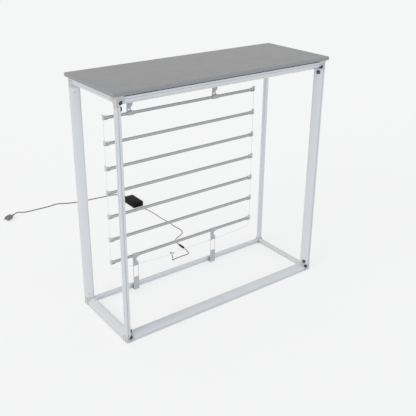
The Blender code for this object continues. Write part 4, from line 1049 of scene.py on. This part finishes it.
class COUNTER_OT_countertop(bpy.types.Operator):
    """Makes the loose countertop with its edge band and locating blocks"""

    bl_idname = "counter.countertop"
    bl_label = "Countertop"

    def execute(self, context):
        made = finishes()
        underside = TOP_HIGH.z - TOP_THICKNESS
        bm = bmesh.new()
        block(bm, (TOP_LOW.x, TOP_LOW.y, underside), TOP_HIGH)
        bevel_edges(bm, [edge for edge in bm.edges if not self.is_level(edge)],
                    TOP_CORNER_RADIUS, 10)
        bevel_edges(bm, [edge for edge in bm.edges if self.is_level(edge)
                         and any(abs(face.normal.z) > 0.9 for face in edge.link_faces)],
                    TOP_RIM_RADIUS, 5)
        for face in bm.faces:
            face.material_index = 0 if abs(face.normal.z) > 0.75 else 1
        new_piece("countertop_slab", bm, "countertop",
                  [made["laminate"], made["edging"]], ["countertop"], sharp=40.0)
        half_x, half_y = BLOCK_HALF
        for side_name, side in SIDES:
            for face_name, face in FACES:
                x = side * BLOCK_PLACE[0]
                y = face * BLOCK_PLACE[1]
                bm = bmesh.new()
                block(bm, (x - half_x, y - half_y, TOP_LOW.z),
                      (x + half_x, y + half_y, underside + BLOCK_OVERLAP), BLOCK_SOFTNESS, 3)
                for shift in (-SCREW_SHIFT, SCREW_SHIFT):
                    seat = heading_matrix((x + shift, y, TOP_LOW.z + SCREW_SEAT), (0.0, 0.0, -1.0))
                    turned_piece(bm, SCREW_PROFILE, 24, seat)
                new_piece(f"block_{face_name}_{side_name}", bm, "countertop",
                          [made["block"]])
        return {"FINISHED"}

    def is_level(self, edge):
        return abs(edge.verts[0].co.z - edge.verts[1].co.z) < 0.001


class COUNTER_OT_led_ladder(bpy.types.Operator):
    """Makes the LED bars with their strips, lenses, end clips and side leads"""

    bl_idname = "counter.led_ladder"
    bl_label = "LED ladder"

    def execute(self, context):
        sizes = context.scene.counter_sizes
        made = finishes()
        for number, height in enumerate(BAR_HEIGHTS, start=1):
            name = f"led_bar_{number}"
            self.channel(name, height, made)
            for side_name, side in SIDES:
                self.clip(name, height, side_name, side, made)
            self.strip(name, height, sizes, made)
        for side_name, side in SIDES:
            name = "side_lead_" + side_name
            low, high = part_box(name)
            middle = Matrix.Translation((side * (LADDER_HALF - LEAD_INSET), LADDER_Y,
                                         (low.z + high.z) / 2))
            bm = bmesh.new()
            bmesh.ops.create_cone(bm, cap_ends=True, segments=16, radius1=LEAD_RADIUS,
                                  radius2=LEAD_RADIUS, depth=high.z - low.z, matrix=middle)
            new_piece(name + "_sheath", bm, "frame", [made["white_lead"]], [name])
        return {"FINISHED"}

    def channel(self, name, height, made):
        """A channel that is open to the front."""
        back = BAR_DEPTH / 2
        half = BAR_HEIGHT / 2
        wall = BAR_WALL
        quarter = math.pi / 2
        bm = bmesh.new()
        outline = Outline(bm, (-back, MOUTH_ROUND - half))
        outline.arc((MOUTH_ROUND - back, MOUTH_ROUND - half), quarter, 3)
        outline.line((back - BACK_ROUND, -half))
        outline.arc((back - BACK_ROUND, BACK_ROUND - half), quarter, 4)
        outline.line((back, half - BACK_ROUND))
        outline.arc((back - BACK_ROUND, half - BACK_ROUND), quarter, 4)
        outline.line((MOUTH_ROUND - back, half))
        outline.arc((MOUTH_ROUND - back, half - MOUTH_ROUND), quarter, 3)
        outline.line((-back, half - wall), (back - wall, half - wall),
                     (back - wall, wall - half), (-back, wall - half), (-back, MOUTH_ROUND - half))
        half_length = LADDER_HALF - BAR_END_INSET
        fill_and_raise(bm, 2 * half_length)
        turn = Matrix(((0, 0, 1, 0), (1, 0, 0, 0), (0, 1, 0, 0), (0, 0, 0, 1)))
        place = Matrix.Translation((-half_length, LADDER_Y, height)) @ turn
        bmesh.ops.transform(bm, matrix=place, verts=bm.verts)
        new_piece(name + "_channel", bm, "frame", [made["bar"]], [name])

    def clip(self, name, height, side_name, side, made):
        """A moulded clip round one end of a bar, with a horn that guides the side lead."""
        inner = BAR_HEIGHT / 2 + CLIP_GAP
        outer = BAR_HEIGHT / 2 + CLIP_WALL
        foot = BAR_HEIGHT / 2 + CLIP_FOOT
        heel = CLIP_REACH - CLIP_FOOT_LENGTH
        points = [
            (heel, -outer), (heel, -foot), (CLIP_REACH, -foot), (CLIP_REACH, -inner),
            (CLIP_STOP, -inner), (CLIP_STOP, inner), (CLIP_REACH, inner), (CLIP_REACH, outer),
            *HORN_PROFILE, (0.0, HORN_RISE), (0.0, -outer),
        ]
        bm = bmesh.new()
        Outline(bm, points[-1]).line(*points)
        fill_and_raise(bm, CLIP_DEPTH)
        matrix = Matrix(((-side, 0, 0, side * LADDER_HALF), (0, 0, 1, LADDER_Y - CLIP_DEPTH / 2),
                         (0, 1, 0, height), (0, 0, 0, 1)))
        bmesh.ops.transform(bm, matrix=matrix, verts=bm.verts)
        clip = new_piece(f"{name}_clip_{side_name}", bm, "frame", [made["clip"]],
                         weighted=False)
        hole = Matrix.Translation((side * (LADDER_HALF - LEAD_INSET), LADDER_Y, height))
        drill(clip, "lead_hole", hole, LEAD_HOLE_RADIUS, 0.06, 16)
        soften_edges(clip, CLIP_SOFTNESS)

    def strip(self, name, height, sizes, made):
        """The LED strip on the channel's floor and the milky lens in its mouth."""
        half_length = LADDER_HALF - STRIP_INSET
        floor = LADDER_Y + BAR_DEPTH / 2 - BAR_WALL
        bm = bmesh.new()
        block(bm, (-half_length, floor - STRIP_GAP - STRIP_THICKNESS, height - STRIP_HALF_HEIGHT),
              (half_length, floor - STRIP_GAP, height + STRIP_HALF_HEIGHT), 0.0001, 1)
        board = len(bm.faces)
        half_x, half_z = LED_HALF
        count = int(2 * half_length / sizes.led_spacing)
        for step in range(count):
            x = (step - (count - 1) / 2) * sizes.led_spacing
            block(bm, (x - half_x, floor - LED_TOP, height - half_z),
                  (x + half_x, floor - LED_FOOT, height + half_z), 0.0002, 1)
        bm.faces.ensure_lookup_table()
        for face in bm.faces[board:]:
            face.material_index = 1
        new_piece(name + "_strip", bm, "frame", [made["strip"], made["chip"]])
        mouth = LADDER_Y - BAR_DEPTH / 2 + LENS_INSET
        bm = bmesh.new()
        block(bm, (-half_length, mouth, height - LENS_HALF_HEIGHT),
              (half_length, mouth + sizes.lens_thickness, height + LENS_HALF_HEIGHT), 0.0003)
        new_piece(name + "_lens", bm, "frame", [made["lens"]])


class COUNTER_OT_hangers(bpy.types.Operator):
    """Makes the hooks, clips and elastics that hold the LED ladder"""

    bl_idname = "counter.hangers"
    bl_label = "Hooks and elastics"

    def execute(self, context):
        made = finishes()
        soft = context.scene.counter_sizes.edge_softness
        for side_name, _ in SIDES:
            for kind, body in (("top_hook", "frame"), ("bar_clip", "frame"),
                               ("lower_hook", "hook_" + side_name)):
                softened(f"{kind}_{side_name}", "_moulding", body, made["hook"],
                         soft)
            self.elastic(side_name, made)
        return {"FINISHED"}

    def elastic(self, side_name, made):
        """A cord down from the ladder, through the lower hook and up again."""
        low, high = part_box("elastic_" + side_name)
        radius = ELASTIC_RADIUS
        bend = ELASTIC_BEND
        top = high.z
        bottom = low.z + radius
        left = low.x + radius
        right = high.x - radius
        leg = top - bottom - bend
        points = [Vector((left, LADDER_Y, top - leg * step / 8)) for step in range(9)]
        for centre, start, first in ((left + bend, math.pi, 1), (right - bend, 1.5 * math.pi, 0)):
            for step in range(first, 7):
                angle = start + math.pi / 2 * step / 6
                points.append(Vector((centre + bend * math.cos(angle), LADDER_Y,
                                      bottom + bend + bend * math.sin(angle))))
        points += [Vector((right, LADDER_Y, bottom + bend + leg * step / 8))
                   for step in range(1, 9)]
        bm = bmesh.new()
        uv = bm.loops.layers.uv.new("UVMap")
        sides = ELASTIC_SIDES
        rings = []
        run = 0.0
        for before, point, after in zip([points[0]] + points, points, points[1:] + [points[-1]]):
            ring = bmesh.ops.create_circle(bm, cap_ends=False, segments=sides, radius=radius,
                                           matrix=heading_matrix(point, after - before))["verts"]
            run += (point - before).length
            rings.append((ring, run))
        for (first, run_a), (second, run_b) in zip(rings, rings[1:]):
            start = first[0].co
            nearest = min(range(sides), key=lambda other: (second[other].co - start).length)
            for step in range(sides):
                after = (step + 1) % sides
                face = bm.faces.new((first[step], first[after], second[(after + nearest) % sides],
                                     second[(step + nearest) % sides]))
                for loop, (u, v) in zip(face.loops, ((step, run_a), (step + 1, run_a),
                                                     (step + 1, run_b), (step, run_b))):
                    loop[uv].uv = (u / sides, v / BRAID_LENGTH)
        for ring in (rings[0][0], rings[-1][0]):
            bmesh.ops.contextual_create(bm, geom=ring)
        piece = new_piece(f"elastic_{side_name}_braid", bm, None,
                          [made["elastic"]], ["elastic_" + side_name], sharp=60.0, weighted=False)
        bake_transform(piece)


class COUNTER_OT_power(bpy.types.Operator):
    """Makes the adaptor, its plugs and the leads on the floor"""

    bl_idname = "counter.power"
    bl_label = "Power supply and leads"

    def execute(self, context):
        sizes = context.scene.counter_sizes
        made = finishes()
        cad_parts["adaptor_board"].data.materials.clear()
        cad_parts["adaptor_board"].data.materials.append(made["board"])
        for name in ("adaptor_base", "adaptor_cover"):
            softened(name, "_casing", "frame", made["black"], CASING_SOFTNESS)
        junction = softened("lead_junction", "_moulding", "frame", made["clip"],
                            JUNCTION_SOFTNESS)
        socket, plug = self.connector(made)
        dc_relief = self.relief("dc_relief", -1, DC_RELIEF_LENGTH, sizes.dc_lead, made)
        ac_relief = self.relief("ac_relief", 1, AC_RELIEF_LENGTH, sizes.ac_lead, made)
        mains = self.mains_plug(made)
        self.cord("white_lead_left", WHITE_LEAD_LEFT_ROUTE, sizes.white_lead, "white_lead",
                  "connector", "limp", "hanging", [junction])
        self.cord("white_lead_right", WHITE_LEAD_RIGHT_ROUTE, sizes.white_lead, "white_lead",
                  "object", "limp", "hanging", [])
        self.cord("dc_tail", DC_TAIL_ROUTE, sizes.dc_lead, "black_lead", "connector", "medium",
                  "loose", [socket, plug])
        self.cord("dc_lead", DC_LEAD_ROUTE, sizes.dc_lead, "black_lead", "object", "medium",
                  "loose", [dc_relief])
        self.cord("ac_lead", AC_LEAD_ROUTE, sizes.ac_lead, "black_lead", "plug", "medium",
                  "loose", [ac_relief, *mains])
        return {"FINISHED"}

    def cord(self, node_name, route, diameter, slot, far_end, stiffness, lay, pieces):
        points = smooth_route(route, diameter)
        lead = lead_curve(node_name + "_sheath", points, diameter, finishes()[slot], "frame",
                          node_name)

    def turned(self, name, ending, profile, segments, matrix, slot, finish, flatten=1.0):
        bm = bmesh.new()
        turned_piece(bm, profile, segments, matrix, flatten)
        return new_piece(name + ending, bm, "frame", [finish], [name])

    def ribs(self, start, radius):
        """Four shallow grooves round a grip, as points of its profile."""
        points = []
        for step in range(4):
            rib = start + step * RIB_PITCH
            points += [(rib, radius), (rib + 0.0003, radius - RIB_DEPTH),
                       (rib + 0.0008, radius - RIB_DEPTH), (rib + 0.0011, radius)]
        return points

    def connector(self, made):
        """The inline socket and the plug in it, each with a ribbed grip."""
        matrix = heading_matrix(SOCKET_PLACE, SOCKET_HEADING)
        half = SOCKET_HALF_LENGTH
        radius = SOCKET_GRIP_RADIUS
        profile = [
            (-half, 0.0), (-half, 0.0026), (-half + 0.0003, 0.00275), (-half + 0.004, 0.0045),
            (-half + 0.005, radius), *self.ribs(-half + 0.0065, radius), (half - 0.0005, radius),
            (half, 0.0045), (half, 0.0029), (half - 0.0088, 0.0029), (half - 0.0088, 0.0),
        ]
        socket = self.turned("dc_socket", "_moulding", profile, 40, matrix, "black_plastic",
                             made["black"])
        start = half + SEAT_GAP
        radius = PLUG_GRIP_RADIUS
        profile = [
            (start, 0.0), (start, 0.0040), (start + 0.0005, radius), (start + 0.003, radius),
            *self.ribs(start + 0.0035, radius), (start + 0.0135, radius), (start + 0.014, 0.0041),
            (start + 0.0142, 0.00275), (start + 0.0238, 0.0023), (start + 0.024, 0.0021),
            (start + 0.024, 0.0),
        ]
        plug = self.turned("dc_plug", "_moulding", profile, 40, matrix, "black_plastic",
                           made["black"])
        return socket, plug

    def relief(self, name, direction, length, diameter, made):
        """A tapered sleeve with slots round it."""
        x, y, z = ADAPTOR_PLACE
        matrix = heading_matrix((x, y + direction * (ADAPTOR_HALF_LENGTH + SEAT_GAP), z),
                                (0.0, direction, 0.0))
        root = RELIEF_ROOT_RADIUS
        tip = diameter / 2 + SEAT_GAP
        count = int(length / 0.004)
        pitch = (length - 0.0022) / count
        profile = [(0.0, 0.0), (0.0, root), (0.0016, root)]
        for step in range(count):
            start = 0.0016 + step * pitch
            radius = root + (tip - root) * start / length
            after = root + (tip - root) * (start + pitch) / length
            waist = max(radius - 0.0009, tip - 0.0002)
            profile += [(start + pitch * 0.10, waist), (start + pitch * 0.35, waist),
                        (start + pitch * 0.45, radius - 0.0001), (start + pitch * 0.95, after)]
        profile += [(length, tip), (length, 0.0)]
        return self.turned(name, "_sleeve", profile, 32, matrix, "black_plastic", made["black"])

    def mains_plug(self, made):
        """A moulded plug with a slotted relief, a waisted grip and two round pins."""
        matrix = heading_matrix(MAINS_PLUG_START, MAINS_PLUG_HEADING)
        thin, thick = MAINS_RELIEF_RADII
        profile = [(0.0, 0.0), (0.0, 0.0027), (0.0006, thin)]
        for step in range(6):
            start = 0.002 + step * 0.0040
            radius = thin + (thick - thin) * start / MAINS_RELIEF_LENGTH
            profile += [(start, radius), (start + 0.0004, radius - 0.0005),
                        (start + 0.0014, radius - 0.0005), (start + 0.0018, radius + 0.0002)]
        body = self.turned("ac_plug", "_moulding", profile + MAINS_GRIP_PROFILE, 56, matrix,
                           "plug_plastic", made["plug"], MAINS_PLUG_FLATNESS)
        bm = bmesh.new()
        for _, side in SIDES:
            seat = Matrix.Translation((side * PIN_SHIFT, 0.0, PIN_START))
            turned_piece(bm, PIN_PROFILE, 24, matrix @ seat)
        heading = Vector(MAINS_PLUG_HEADING).normalized()
        for face in bm.faces:
            reach = (face.calc_center_median() - Vector(MAINS_PLUG_START)).dot(heading)
            face.material_index = 0 if reach < PIN_SLEEVE_END else 1
        pins = new_piece("ac_plug_pins", bm, "frame", [made["plug"], made["steel"]])
        return [body, pins]


class COUNTER_PT_sidebar(bpy.types.Panel):
    """Lists the counter's colours, sizes and steps"""

    bl_idname = "COUNTER_PT_sidebar"
    bl_label = "Exhibition Counter"
    bl_space_type = "VIEW_3D"
    bl_region_type = "UI"
    bl_category = "Counter"

    def draw(self, context):
        layout = self.layout
        for title, group in (("Colours", context.scene.counter_colours),
                             ("Sizes", context.scene.counter_sizes),
                             ("Studio", context.scene.counter_studio)):
            box = layout.box()
            box.label(text=title)
            for label in group.bl_rna.properties.keys():
                if label not in ("rna_type", "name"):
                    box.prop(group, label)
        for operator in OPERATORS:
            layout.operator(operator.bl_idname)


PROPERTY_GROUPS = {
    "counter_colours": CounterColours, "counter_sizes": CounterSizes,
    "counter_studio": CounterStudio,
}
OPERATORS = (
    COUNTER_OT_studio, COUNTER_OT_power, COUNTER_OT_members, COUNTER_OT_connectors,
    COUNTER_OT_locks, COUNTER_OT_countertop, COUNTER_OT_led_ladder, COUNTER_OT_hangers,
)
CLASSES = (*PROPERTY_GROUPS.values(), *OPERATORS, COUNTER_PT_sidebar)


def register():
    for item in CLASSES:
        bpy.utils.register_class(item)
    for name, group in PROPERTY_GROUPS.items():
        setattr(bpy.types.Scene, name, bpy.props.PointerProperty(type=group))


def unregister():
    for name in PROPERTY_GROUPS:
        delattr(bpy.types.Scene, name)
    for item in reversed(CLASSES):
        bpy.utils.unregister_class(item)


def main():
    register()
    for operator in OPERATORS:
        family, name = operator.bl_idname.split(".")
        getattr(getattr(bpy.ops, family), name)()


if __name__ == "__main__":
    main()
